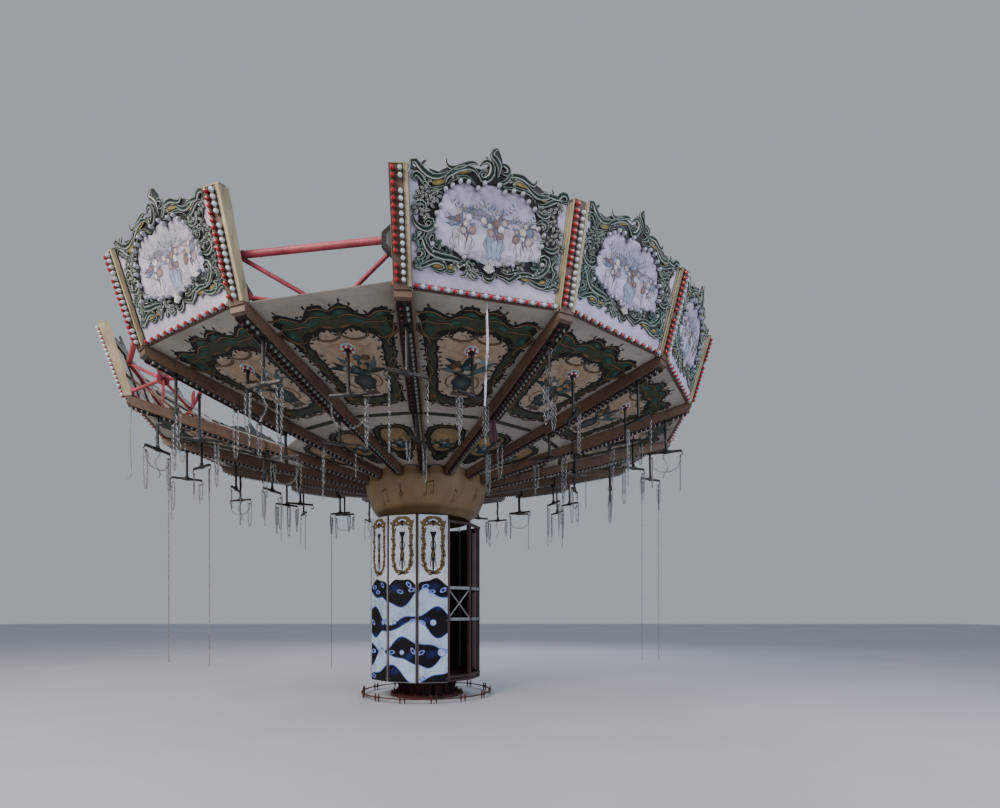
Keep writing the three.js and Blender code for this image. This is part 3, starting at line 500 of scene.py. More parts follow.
def chipped(tree, position, share):
    """1 in chips of about 20 mm and 0 beside them. They gather in places, more of them with share."""
    lumps = mottle(tree, position, CHIP_SIZE, 5, 0.62, offset=12.3)
    where = mottle(tree, position, CHIP_SIZE * 14, 3, offset=5.5)
    ends = rising(where, 0.35, 0.7, 0.86 - 0.1 * share, 0.72 - 0.3 * share)
    level = node(tree, "MapRange", ends, interpolation_type="SMOOTHSTEP").outputs[0]
    over = node(tree, "Math", {0: lumps, 1: level}, operation="SUBTRACT").outputs[0]
    ends = rising(over, 0.0, 0.02, 0.0, 1.0)
    return node(tree, "MapRange", ends, interpolation_type="SMOOTHSTEP").outputs[0]


def weathered(
    name, base, shade, roughness=0.5, metallic=0.0, patch_size=0.6, stretch=(1, 1, 1), grime_and_shade="#2b2620",
    grime_and_shade_share=0.5, chip=None, chip_share=0.3, grain=0.004, streak=6.0, shine=0.5,
):
    """A weathered finish: two tones in patches of patch_size metres, pulled out by stretch, streaks of
    dirt `streak` times as tall as wide, painted shade of the same colour in corners and hollows,
    chips of another colour, and a fine grain in bump and roughness."""
    material, tree, shader = new_material(name)
    position = node(tree, "TexCoord").outputs["Object"]
    base, shade = (tone(tree, position) if callable(tone) else tone for tone in (base, shade))
    patches = mottle(tree, position, patch_size, 6, stretch=stretch)
    colour = laid_over(tree, base, shade, patches, 0.38, 0.66)
    runs = mottle(tree, position, patch_size * 0.12, 5, 0.6, (1, 1, streak), 3.1)
    colour = laid_over(tree, colour, grime_and_shade, runs, 0.5, 0.78, 0.0, grime_and_shade_share)
    # Painted shade: ambient occlusion lays the dirt colour into corners and hollows.
    hollow = node(tree, "AmbientOcclusion", {"Distance": 0.06}, samples=4).outputs["AO"]
    colour = laid_over(tree, colour, grime_and_shade, hollow, 0.35, 0.95, min(1.0, grime_and_shade_share * 1.3), 0.0)
    fine = mottle(tree, position, grain, 3, 0.6, offset=7.7)
    ends = rising(fine, 0.3, 0.7, max(0.05, roughness - 0.09), min(1.0, roughness + 0.12))
    rough = node(tree, "MapRange", ends, interpolation_type="SMOOTHSTEP").outputs[0]
    height = fine
    if chip:
        chips = chipped(tree, position, chip_share)
        colour = node(tree, "Mix", {0: chips, 6: colour, 7: chip}, data_type="RGBA").outputs[2]
        dull = node(tree, "Math", {0: chips, 1: 0.85}, operation="MULTIPLY").outputs[0]
        rough = node(tree, "Math", {0: rough, 1: dull}, operation="MAXIMUM").outputs[0]
        height = node(tree, "Math", {0: fine, 1: chips}, operation="SUBTRACT").outputs[0]
    raised = node(tree, "Bump", {"Height": height, "Strength": 0.25, "Distance": grain * 0.5}).outputs[0]
    links = {"Base Color": colour, "Roughness": rough, "Normal": raised}
    wire(tree, shader, {**links, "Metallic": metallic, "Specular IOR Level": shine})
    return material


def lamp_glass(name, dust_colour, roughness, coat, dust):
    """A lamp's lacquered glass: glossy, dulled in patches by dust; its skirt keeps its own colour."""
    material, tree, shader = new_material(name)
    position = node(tree, "TexCoord").outputs["Object"]
    patches, fine = mottle(tree, position, 0.03, 4), mottle(tree, position, 0.02, 3, offset=4.0)
    colour = laid_over(tree, painted_by_piece(tree, position), dust_colour, patches, 0.45, 0.75, 0.0, dust)
    ends = rising(fine, 0.3, 0.7, roughness, roughness + 0.25)
    rough = node(tree, "MapRange", ends, interpolation_type="SMOOTHSTEP").outputs[0]
    links = {"Base Color": colour, "Roughness": rough}
    wire(tree, shader, {**links, "Coat Weight": coat, "Coat Roughness": 0.12})
    return material


def woven(name, base, shade, thread, roughness, sheen):
    """Cloth of two tones, with a weave of two crossed waves on the piece's own UV map."""
    material, tree, shader = new_material(name)
    where = node(tree, "TexCoord")
    colour = laid_over(tree, base, shade, mottle(tree, where.outputs["Object"], 0.05, 5), 0.35, 0.65)
    moved = node(tree, "Mapping", {"Vector": where.outputs["UV"], "Scale": (1 / thread,) * 3}).outputs[0]
    waves = [node(tree, "TexWave", {"Vector": moved, "Scale": 1.0}, bands_direction=way) for way in "XY"]
    warp, weft = (wave.outputs["Fac"] for wave in waves)
    weave = node(tree, "Math", {0: warp, 1: weft}, operation="MULTIPLY").outputs[0]
    colour = laid_over(tree, colour, shade, weave, 0.0, 0.9, 0.35, 0.0)
    raised = node(tree, "Bump", {"Height": weave, "Strength": 0.35, "Distance": thread * 0.4}).outputs[0]
    links = {"Base Color": colour, "Normal": raised}
    wire(tree, shader, {**links, "Roughness": roughness, "Sheen Weight": sheen})
    return material


def board_tone(inside, outside):
    """A rim board's two sides, and over its straight part a near-black green, which is dark green paint
    and painted shade between the carved strokes.
    """
    axis = tuple(leaned(PIVOT + np.array([0, 0, 1.0])) - PIVOT)

    def tone(tree, position):
        face = laid_over(tree, inside, outside, outward(tree, position))
        height = node(tree, "VectorMath", {0: position, 1: axis}, operation="DOT_PRODUCT").outputs["Value"]
        # Over the crest: near-black green, dark green paint and painted shade between the carved strokes.
        return laid_over(tree, face, "#121917", height, CREST_LEVEL, CREST_LEVEL + 0.015)

    return tone


def ceiling_tone(under, over):
    """One colour underneath, another on top."""

    def tone(tree, position):
        normal = node(tree, "TexCoord").outputs["Normal"]
        up = node(tree, "SeparateXYZ", {0: normal}).outputs[2]
        return laid_over(tree, under, over, up, -0.1, 0.1)

    return tone


def drum_tone(inside, outside):
    """One colour inside the drum, another outside."""
    return lambda tree, position: laid_over(tree, inside, outside, outward(tree, position))


def painted_by_piece(tree, position):
    """The colour that each point of the piece carries."""
    return node(tree, "Attribute", attribute_name="paint").outputs["Color"]


def darker(tree, position):
    """The carried colour at seven tenths of its brightness."""
    own = painted_by_piece(tree, position)
    return node(tree, "VectorMath", {0: own, "Scale": 0.7}, operation="SCALE").outputs[0]


FINISHES = {
    # Flame-cut steel plate left to rust under one thin coat: matt, blotched, orange at its chips.
    "rusty_steel": weathered("rusted_red_primer_steel", "#5b2a21", "#35201a", 0.8, 0.1, 0.25, chip="#8a4a22"),
    # Maroon enamel over rolled steel: satin, chalked in patches, rust at the edges of its chips.
    "maroon_paint": weathered("maroon_enamel", "#3b1918", "#281211", 0.5, patch_size=0.4, chip="#5c3a28"),
    # Grey zinc-sprayed tube: dull metal with oily runs.
    "mast_steel": weathered("zinc_sprayed_steel", "#77797c", "#55575a", 0.5, 0.8, 0.3, grime_and_shade_share=0.7),
    # White laminate on birch plywood: smooth, with grey rain runs; painted nearly black inside the drum as
    # painted shade.
    "drum_board": weathered(
        "white_laminate_board", drum_tone("#15171c", "#c5c9d2"), drum_tone("#22252b", "#aab0bb"), 0.38,
        grime_and_shade="#4a4a4c", grime_and_shade_share=0.45,
    ),
    # Gelcoated glass fibre brushed over in ochre: satin, with upright brush marks.
    "bowl_shell": weathered(
        "ochre_brushed_gelcoat", "#7b6240", "#705836", 0.5, patch_size=0.25, streak=5, grime_and_shade="#4f3b24",
        grime_and_shade_share=0.25, grain=0.006, stretch=(1, 1, 4),
    ),
    # Brown alkyd paint on box steel: dull, dusty on top, chipped to a dark primer.
    "brown_beam": weathered("brown_alkyd_steel", "#6d5343", "#553f33", 0.55, chip="#2c211b", chip_share=0.5),
    # Lilac-white lacquer on marine plywood, old cream behind: satin, greyed by rain in streaks, with painted
    # shade beside the carving.
    "rim_board": weathered(
        "lilac_white_lacquer", board_tone("#a7a18c", "#c3bccf"), board_tone("#8d8771", "#a9a2b6"), 0.45,
        grime_and_shade="#6f6a73", grime_and_shade_share=0.35,
    ),
    # Pinkish red enamel on round tube: sun-bleached, with small rust spots.
    "truss_paint": weathered("faded_red_enamel", "#b04a55", "#8f3440", 0.5, patch_size=0.3, chip="#5a2f26"),
    # Greige distemper on ply panels, bare grey ply on top: flat, with water stains.
    "ceiling_panel": weathered(
        "greige_distemper_ply", ceiling_tone("#a0978a", "#6e6a60"), ceiling_tone("#877d6f", "#55524a"), 0.7,
        patch_size=0.9, grime_and_shade="#55493c", grime_and_shade_share=0.4,
    ),
    # Carved limewood under oil paint: satin, near-black painted shade in its hollows, rubbed along its edges.
    "carving": weathered(
        "oil_painted_limewood", painted_by_piece, darker, 0.5, patch_size=0.05, grime_and_shade="#0d100f",
        grime_and_shade_share=0.6, shine=0.35,
    ),
    # Signwriter's enamel brushed flat on the panels: dull and thin.
    "sign_paint": weathered(
        "brushed_sign_enamel", painted_by_piece, darker, 0.62, patch_size=0.08, grime_and_shade_share=0.2,
        grain=0.003, shine=0.3,
    ),
    # Aerosol paint: even, half matt, with a fine orange peel.
    "aerosol": weathered(
        "aerosol_paint", painted_by_piece, darker, 0.6, patch_size=0.3, grime_and_shade_share=0.1, grain=0.002,
        shine=0.2,
    ),
    # Pine moulding under cream oil paint: satin, yellowed, with painted shade in its steps.
    "moulding": weathered("cream_painted_pine", "#b3a786", "#94886a", 0.5, grime_and_shade_share=0.6, streak=8),
    # Black enamel on steel bars: nearly black, rubbed to a grey sheen.
    "dark_steel": weathered("black_enamel_steel", "#1d1b1b", "#2e2a28", 0.45, 0.2, 0.12, chip="#5a4538"),
    # Galvanised flat bar: pale, dull metal.
    "light_bar": weathered("galvanised_flat_bar", "#8d8f90", "#77787a", 0.45, 0.6, 0.2),
    # Hot-dip galvanised chain: pale grey metal with darker spangle.
    "chain_steel": weathered(
        "galvanised_chain_steel", "#a2a4a6", "#5d5e5f", 0.4, 0.5, 0.05, grime_and_shade_share=0.5
    ),
    # Red lacquer over lamp glass: glossy under patches of dust.
    "red_bulb": lamp_glass("red_lacquered_lamp_glass", "#5d3a3a", 0.12, 0.7, 0.35),
    # Opal lamp glass: milky, with grey dust.
    "white_bulb": lamp_glass("opal_lamp_glass", "#8b8a86", 0.16, 0.5, 0.45),
    # Wine-red cotton: matt, with a soft sheen. The threads are drawn 4 mm apart so that they show.
    "wine_cloth": woven("wine_red_cotton", "#5f2138", "#3a1322", 0.004, 0.92, 0.5),
    # Bleached polyester webbing: satin. The ribs are drawn 3 mm apart so that they show.
    "white_tape": woven("bleached_webbing", "#cfcbd8", "#9c98a6", 0.003, 0.7, 0.2),
    # Polypropylene rope, faded grey-green and a little shiny.
    "rope": woven("faded_polypropylene", "#93a59b", "#6f8178", 0.004, 0.6, 0.1),
}


# Making an object of surfaces


def outwards(made, groups):
    """The faces, turned round where the volume that they enclose comes out negative."""
    volume = 0
    for group in groups:
        corners = made[group]
        for k in range(1, group.shape[1] - 1):
            volume += np.einsum("ij,ij->", corners[:, 0], np.cross(corners[:, k], corners[:, k + 1]))
    return groups if volume > 0 else [group[:, ::-1] for group in groups]


def piece(name, parts, finish, replaces=(), body="crown", sharp=35.0, uv=None):
    """One object of several surfaces, with the colours that they carry, its finish and its body."""
    made, faces, shades, start = [], [], [], 0
    for surface, groups, colours in parts:
        part = surface.reshape(-1, 3)
        made.append(part)
        shades.append(np.broadcast_to(1.0 if colours is None else colours, (len(part), 3)))
        for group in outwards(part, groups):
            faces.extend((group + start).tolist())
        start += len(part)
    mesh = bpy.data.meshes.new(name)
    mesh.from_pydata(np.vstack(made), [], faces)
    shade = np.ones((start, 4))
    shade[:, :3] = np.vstack(shades)
    mesh.color_attributes.new("paint", "FLOAT_COLOR", "POINT").data.foreach_set("color", shade.ravel())
    if uv is not None:
        corner = np.zeros(len(mesh.loops), int)
        mesh.loops.foreach_get("vertex_index", corner)
        mesh.uv_layers.new(name="weave").data.foreach_set("uv", np.asarray(uv)[corner].ravel())
    mesh.shade_smooth()
    mesh.set_sharp_from_angle(angle=math.radians(sharp))
    mesh.materials.append(FINISHES[finish])
    thing = bpy.data.objects.new(name, mesh)
    bpy.context.scene.collection.objects.link(thing)
    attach(thing, body)
    if replaces:
        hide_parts(*replaces)
    return thing


def in_quarters(name, made, finish, stands_for=None, sharp=35.0):
    """Four pieces, each with the surfaces that `made` gives for four arms or bays side by side."""
    for quarter in range(1, 5):
        parts = [part for bay in range(4 * quarter - 4, 4 * quarter) for part in made(bay)]
        replaces = [f"{stands_for}_{quarter}"] if stands_for else ()
        piece(f"{name}_{quarter}", parts, finish, replaces, sharp=sharp)


def moulding(place, ends, section, colours=None):
    """A straight moulding: each section point (a, b) is added to the second and third of a place's
    own coordinates at every station, so its ends are square to the first."""
    ends = np.asarray(ends, float)
    section = np.broadcast_to(section, (len(ends), *np.shape(section)[-2:]))
    made = place(ends[:, :1], ends[:, 1:2] + section[..., 0], ends[:, 2:] + section[..., 1])
    return made, loft_faces(1, len(ends), section.shape[1]), colours


# Camera, lights and floor


def camera():
    """A level camera at eye height, its picture shifted up."""
    data = bpy.data.cameras.new("camera")
    data.sensor_width = 36
    data.lens = 20.05
    data.shift_y = 0.207
    data.clip_end = 300
    made = bpy.data.objects.new("camera", data)
    made.location = (1.458, -11.13, 1.65)
    made.rotation_euler = (math.pi / 2, 0, 0)
    bpy.context.scene.collection.objects.link(made)
    bpy.context.scene.camera = made


def soft_light(name, at, watts, code):
    """A square light of 9 m, aimed at the ride's middle."""
    data = bpy.data.lights.new(name, "AREA")
    data.size = 9
    data.energy = watts
    data.color = tuple(linear(code))
    made = bpy.data.objects.new(name, data)
    made.location = at
    made.rotation_euler = (Vector((0, 0, 3.8)) - Vector(at)).to_track_quat("-Z", "Y").to_euler()
    bpy.context.scene.collection.objects.link(made)


def studio():
    """Pale floor, pale sky and three soft lights."""
    world = bpy.data.worlds.new("studio")
    bpy.context.scene.world = world
    world.use_nodes = True
    sky = {"Color": "#c9d2df", "Strength": 0.62}
    wire(world.node_tree, world.node_tree.nodes["Background"], sky)
    soft_light("key_light", (-9, -13, 12), 3300, "#fff4ea")
    soft_light("fill_light", (11, -9, 7), 900, "#e8eeff")
    soft_light("back_light", (2, 13, 12), 1200, "#eef2ff")
    mesh = bpy.data.meshes.new("floor")
    mesh.from_pydata([(-60, -60, 0), (60, -60, 0), (60, 60, 0), (-60, 60, 0)], [], [(0, 1, 2, 3)])
    floor = bpy.data.objects.new("floor", mesh)
    material, tree, shader = new_material("pale_floor")
    patches = mottle(tree, node(tree, "TexCoord").outputs["Object"], 3.0)
    colour = laid_over(tree, "#b9bcc2", "#b3b6bc", patches, 0.3, 0.7)
    wire(tree, shader, {"Base Color": colour, "Roughness": 0.9})
    mesh.materials.append(material)
    bpy.context.scene.collection.objects.link(floor)
    floor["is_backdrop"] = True


# Cords and cloth

# Where the tape and the rope hang: x, y and drop of points below their first 44 mm, in millimetres.
STRAP_ROUTE = (
    (-2, 0, 70), (-3, 2, 150), (-2, 5, 230), (1, 7, 310), (3, 8, 390), (3, 8, 470), (0, 7, 550),
    (-5, 5, 630), (-10, 3, 710), (-14, 2, 790), (-17, 2, 870), (-19, 3, 950), (-21, 4, 1030),
    (-24, 5, 1110), (-30, 6, 1190),
)
ROPE_ROUTE = (
    (-3, 0, 60), (-6, -1, 130), (-9, -2, 200), (-11, -2, 280), (-12, -1, 360), (-13, 0, 440),
    (-14, 1, 520), (-14, 2, 600), (-13, 2, 680), (-10, 2, 760), (-5, 1, 840), (1, 0, 920),
    (5, -1, 990), (4, -2, 1050), (-18, -6, 1095), (-58, -12, 1120),
)


def cord_line(leaves, way, rows, count):
    """Straight out of the exit, then down through rows of x, y and drop in millimetres."""
    start = leaves + way * np.array([[0.3], [22.3], [44.3]]) * MM
    return smooth(np.vstack([start, start[2] + np.array(rows) * (MM, MM, -MM)]), count)


def line_length(line):
    """Sum of the steps between a line's points."""
    return float(np.linalg.norm(np.diff(line, axis=0), axis=1).sum())


def strap():
    """A flat tape, 28 mm wide, that turns about itself as it hangs: an ellipse carried down its line
    and turned by 1.2 + 5.5t + 0.7 sin 9t, pinched where a knot is tied."""
    place = on_board(1)
    leaves = place(0, 0, -0.015)
    line = cord_line(leaves, unit(place(0, -1, -0.015) - leaves), STRAP_ROUTE, 180)
    t = np.linspace(0, 1, len(line))
    pinch = 1 - 0.55 * np.exp(-(((t - 0.53) / 0.03) ** 2))
    section = circle(1, 12) * (0.0138, 0.0016) * np.stack([pinch, 2.2 - 1.2 * pinch], -1)[None, :, None]
    surface = carried(line, section, (0, 1, 0), 1.2 + 5.5 * t + 0.7 * np.sin(9 * t))
    uv = np.stack(np.broadcast_arrays(np.linspace(0, 0.06, 12), (t * line_length(line))[:, None]), -1)
    tape = piece("front_tape", [surface], "white_tape", ["front_strap"], uv=uv.reshape(-1, 2))
    turn = np.linspace(0, TAU, 61)
    side = 0.013 * np.cos(2 * turn) + 0.006 * np.cos(turn)
    loop = points(side, 0.011 * np.sin(2 * turn), 0.016 * np.sin(3 * turn))
    surface = carried(line[95] + loop, circle(1, 8) * (0.006, 0.004), (0, 0.3, 1))
    knot = piece("tape_knot", [surface], "white_tape", uv=surface[0][:, :2])
    length = line_length(line)
    tuple(leaves)


def rope():
    """Three strands laid round each other: the section's radius is R(0.93 + 0.07 cos 3(φ − turn))."""
    place = on_arm(14)
    slope = beam_foot(1) - beam_foot(0)
    leaves = place(4.95, 0, beam_foot(4.95))
    way = unit(place(4.95 + slope, 0, beam_foot(4.95) - 1) - leaves)
    line = cord_line(leaves, way, ROPE_ROUTE, 200)
    t = np.linspace(0, 1, len(line))
    angle = TAU * np.arange(15) / 15
    radius = 0.008 * (0.93 + 0.07 * np.cos(3 * (angle[None] - 40 * TAU * t[:, None])))
    section = np.stack([radius * np.cos(angle), radius * np.sin(angle)], -1)[None]
    uv = np.stack(np.broadcast_arrays(angle * 0.008, (t * line_length(line))[:, None]), -1).reshape(-1, 2)
    made = piece("hanging_rope", [carried(line, section, (0, 1, 0))], "rope", ["rim_rope"], uv=uv)
    tuple(leaves)
    line_length(line)


def wine_cloth():
    """Cotton wound round a hanger's rod: a tube of radius r(t) + d(t) cos(7θ + 2.5 sin 3t), closed at
    both ends on an inner tube 2.5 mm inside it."""
    place = on_arm(2)
    t = np.linspace(0, 1, 26)
    angle = (TAU * np.arange(63) / 63)[:, None]
    fold = np.interp(t, [0, 0.3, 0.8, 1], [0.009, 0.008, 0.005, 0.003])
    radius = np.interp(t, [0, 0.15, 0.35, 0.7, 0.92, 1], [0.048, 0.056, 0.058, 0.043, 0.036, 0.033])
    radius = radius + fold * np.cos(7 * angle + 2.5 * np.sin(3 * t) + 0.6 * np.sin(2 * angle))
    radius = np.concatenate([radius, (radius - 0.0025)[:, ::-1]], axis=1)
    level = 4.079 + 0.353 * np.concatenate([t, t[::-1]])
    made = place(ARM_STEP_R + radius * np.cos(angle), radius * np.sin(angle), level)
    uv = np.stack(np.broadcast_arrays(angle * 0.05, level), -1).reshape(-1, 2)
    surface = made, loft_faces(1, 63, 52, closed=True), None
    wrap = piece("wine_wrap", [surface], "wine_cloth", ["rod_wrap"], sharp=60, uv=uv)


# Lamps

# Section of a lamp: distance from its axis and height over its face.
LAMP = np.array([(0, 0), (19, 0), (25, 27), (26, 42), (16, 57), (0, 62)]) * MM
SKIRT = linear("#25221f")
# Middles of the lamps round a carved frame, which also bound its opening, in millimetres on a board.
FRAME_LAMPS = (
    (-536, 1000), (-461, 1046), (-377, 1100), (-287, 1109), (-179, 1067), (-107, 1126), (59, 1135),
    (127, 1079), (229, 1109), (335, 1100), (407, 1036), (485, 973), (543, 785), (616, 732), (600, 615),
    (616, 428), (517, 465), (356, 435), (267, 371), (207, 377), (91, 353), (-142, 370), (-233, 392),
    (-305, 375), (-383, 427), (-469, 456), (-548, 471), (-666, 454), (-632, 630), (-628, 758),
    (-585, 839),
)
# Places across a post's front of its two lamp columns, and where the cream strip beside them begins.
RED_COLUMN, WHITE_COLUMN, STRIP_FROM = -0.062, 0.018, 0.052
BEAM_PITCH = 0.078  # of the lamps under the beams
HOLE_RING_R = 0.062  # of the lamps round the hole that a rod comes through


def facing(place, u, v, w=0.0):
    """Points of a face, and the way out of it at each, side by side."""
    u, v = np.broadcast_arrays(u, v)
    at = place(u, v, w)
    return np.concatenate([at, unit(place(u, v, w + 1.0) - at)], -1).reshape(-1, 6)


def hanging_on(place, x, y, z, slope):
    """Points of a beam's underside, and the way down from it."""
    x, y, z = np.broadcast_arrays(x, y, z)
    at = place(x, y, z)
    return np.concatenate([at, unit(place(x + slope, y, z - 1) - at)], -1).reshape(-1, 6)


def arm_lamps(arm):
    """Two rows under each beam, darkened to painted shade, and two columns on the post; a few lamps are gone.
    """
    place, post = on_arm(arm), on_post(arm)
    r = np.arange(3.09, 4.94, BEAM_PITCH)
    r = r[np.abs(r - HANGERS[0][0]) > 0.06]
    near = np.arange(1.26, 2.93, BEAM_PITCH)
    slope = beam_foot(1) - beam_foot(0)
    column = 0.04 + 0.07 * np.arange(16)
    clean, shaded = [], []
    for side, across in ((-1, RED_COLUMN), (1, WHITE_COLUMN)):
        there = (np.arange(16) * 7 + arm * 5 + side * 3) % 19 != 4
        clean.append([facing(post, across, column[there])])
        outer = hanging_on(place, r, side * 0.038, beam_foot(r) - 0.004, slope)
        inner = hanging_on(place, near, side * 0.03, inner_foot(near) - 0.004, CEILING_SLOPE)
        shaded.append([outer, inner])
    return clean, shaded


def board_lamps(bay):
    """Red and white ones by turns along the lower edge, and dull white ones round the carved frame."""
    place = on_board(bay)
    edge = facing(place, (np.arange(24) - 11.5) * 0.072, 0.024)
    u, v = np.array(FRAME_LAMPS).T * MM
    there = (np.arange(len(u)) * 5 + bay * 3) % 29 != 7
    return ([edge[::2]], [edge[1::2]]), ([], [facing(place, u[there], v[there], 0.006)])


def hole_lamps(bay):
    """A ring of twelve lamps round the hole that a hanger's rod comes through."""
    if bay == OPEN_BAY:
        return [], []
    angle = TAU * np.arange(12) / 12
    u, v = HOLE_RING_R * np.cos(angle), BAY_HANGER[0] + HOLE_RING_R * np.sin(angle)
    at = facing(on_ceiling(bay), u, v, 0.002)
    return [at[::2]], [at[1::2]]


def lamp_pair(rows, sides, *codes):
    """A red and a white lamp of some rows of the section: a dark skirt and a globe of 52 mm."""
    colours = [np.array([SKIRT] * 2 + [linear(code)] * (len(rows) - 2)) for code in codes]
    return [revolved(LAMP[rows], sides, colour) for colour in colours]


def lamps():
    """All the lamps, each turned to the way out of its face."""
    clean = lamp_pair([0, 1, 2, 3, 4, 5], 7, "#a8161f", "#c3c8d0")
    dull = lamp_pair([0, 1, 2, 4, 5], 7, "#a8161f", "#a3a8b3")
    # Lamps under the beams: red and white darkened to painted shade.
    shaded = lamp_pair([0, 1, 2, 4, 5], 6, "#44191a", "#77736d")
    for quarter in range(4):
        parts = [[], []]
        for k in range(4 * quarter, 4 * quarter + 4):
            on_posts, under_beams = arm_lamps(k)
            sets = [(on_posts, clean, 1.0), (under_beams, shaded, 0.85), (hole_lamps(k), clean, 0.7)]
            if k not in BARE_BAYS:
                edge, round_frame = board_lamps(k)
                sets += [(edge, clean, 1.0), (round_frame, dull, 1.1)]
            for both, pair, size in sets:
                for found, shape, kept in zip(both, pair, parts):
                    if found:
                        at = np.vstack(found)
                        kept.append(copies(shape, at[:, :3], at[:, 3:], size))
        for made, colour in zip(parts, ("red", "white")):
            slot = colour + "_bulb"
            piece(f"{colour}_lamps_{quarter + 1}", made, slot)


# The rim

# Section of the stepped moulding at a board's right end: distance in from the corner, height over it.
STEPS = np.array([(100, 0), (150, 0), (150, 12), (128, 14), (126, 30), (100, 34)]) * MM
# Up a post's front: the foot and the head of its cream sheets.
SHEET_FOOT, SHEET_HEAD = -0.02, 1.138
CHEEK_PLANES = np.array([[0.1002], [0.1045]])  # of a cheek's two sides, across the post
# Sections along a board's lower edge, up the board and out of it: the bead and the line over it.
EDGE_BEAD = np.array([(-14, -32), (4, -32), (6, 1), (6, 12), (-6, 15), (-14, 8)]) * MM
EDGE_LINE = np.array([(50, 0), (58, 0), (57, 3), (51, 3)]) * MM
# Two corners of each batten on a board's back: across, up and out.
BATTEN_LOWS = ((-0.84, 0.05, -0.062), (-0.86, 0.98, -0.062), (-0.36, 0.12, -0.055), (0.3, 0.12, -0.055))
BATTEN_HIGHS = ((0.84, 0.12, -0.0303), (0.86, 1.05, -0.0303), (-0.29, 0.98, -0.0303), (0.37, 0.98, -0.0303))
EDGE_BROWN, EDGE_RED, BATTEN_GREY, GREIGE = tones("#5a3d30", "#8f1f27", "#6f6552", "#a0978a")


def corner_at(v):
    """Half the face's width between its posts' middles, at a height up the slant."""
    return rim_radius(RIM_LEVEL + v * math.cos(RIM_LEAN)) * math.sin(HALF_BAY)


def post_mouldings():
    """A two-step moulding over each board's right end, a cream strip down each post's front, cream
    cheeks on the posts' sides, which go further back where a bay is bare, and thin caps."""
    parts = []
    v = np.array([SHEET_FOOT, 1.115])
    for bay in range(ARMS):
        bare = bay in BARE_BAYS
        if not bare:
            across = corner_at(v)[:, None] - STEPS[None, :, 0]
            made = on_board(bay)(across, *np.broadcast_arrays(v[:, None], STEPS[:, 1]))
            parts.append((made, loft_faces(1, 2, 6), None))
        low, high = (-0.1, -0.15) if bare else (-0.038, -0.038)
        for side, arm in ((-1, bay), (1, bay + 1)):
            up = np.array([[SHEET_FOOT, SHEET_HEAD, SHEET_HEAD, SHEET_FOOT]])
            made = on_post(arm)(-side * CHEEK_PLANES, *np.broadcast_arrays(up, [[0.004, 0.004, high, low]]))
            parts.append((made, loft_faces(1, 2, 4), None))
        strip = STRIP_FROM
        lows = [(-0.108, 1.139, -0.097), (strip, SHEET_FOOT, 0.0002), (strip + 0.014, SHEET_FOOT, 0.006)]
        highs = [(0.108, 1.151, 0.006), (0.1045, SHEET_HEAD, 0.006), (0.0985, SHEET_HEAD, 0.011)]
        parts.append(boxes(on_post(bay), lows, highs))
    piece("post_mouldings", parts, "moulding", sharp=20)


def board_trims():
    """A brown bead and a red line along each board's lower edge, and battens on its back."""
    parts = []
    for bay in range(ARMS):
        if bay in BARE_BAYS:
            continue
        place = on_board(bay)
        for half, section, tone in ((0.86, EDGE_BEAD, EDGE_BROWN), (0.85, EDGE_LINE, EDGE_RED)):
            parts.append(moulding(place, [(-half, 0, 0), (half, 0, 0)], section, tone))
        parts.append(boxes(place, BATTEN_LOWS, BATTEN_HIGHS, BATTEN_GREY))
    piece("board_trims", parts, "carving")


def ceiling_edges():
    """The ceiling's outer edge, carried out to the rim. In a bare bay it goes further out, most at
    its right end."""
    parts = []
    for bay in range(ARMS):
        if bay not in BARE_BAYS:
            parts.append(boxes(on_ceiling(bay), [(-0.862, 4.836, -0.012)], [(0.862, 4.897, -0.0005)]))
        elif bay != OPEN_BAY:
            edge = np.array([-862 + 4836j, 862 + 4836j, 862 + 4985j, -862 + 4885j])
            parts.append(slab(on_ceiling(bay), edge, -12, 11, GREIGE))
    piece("ceiling_edges", parts, "ceiling_panel")


# The carved frames, in millimetres on a board: u across, v up

FRAME_CENTRE = 760j
FRAME_OUT = (
    -850 + 260j, -790 + 225j, -640 + 235j, -400 + 245j, -200 + 235j, 205j, 210 + 245j, 420 + 235j,
    620 + 220j, 790 + 215j, 800 + 330j, 810 + 480j, 790 + 640j, 815 + 800j, 800 + 960j, 815 + 1090j,
    840 + 1140j, 760 + 1125j, 660 + 1160j, 575 + 1120j, 480 + 1180j, 400 + 1215j, 300 + 1240j,
    190 + 1262j, 110 + 1330j, 30 + 1440j, -50 + 1350j, -120 + 1270j, -199 + 1285j, -330 + 1255j,
    -430 + 1225j, -520 + 1215j, -600 + 1125j, -690 + 1115j, -757 + 1150j, -830 + 1165j, -880 + 1160j,
    -870 + 1090j, -840 + 980j, -855 + 860j, -840 + 720j, -860 + 560j, -835 + 420j, -855 + 300j,
)
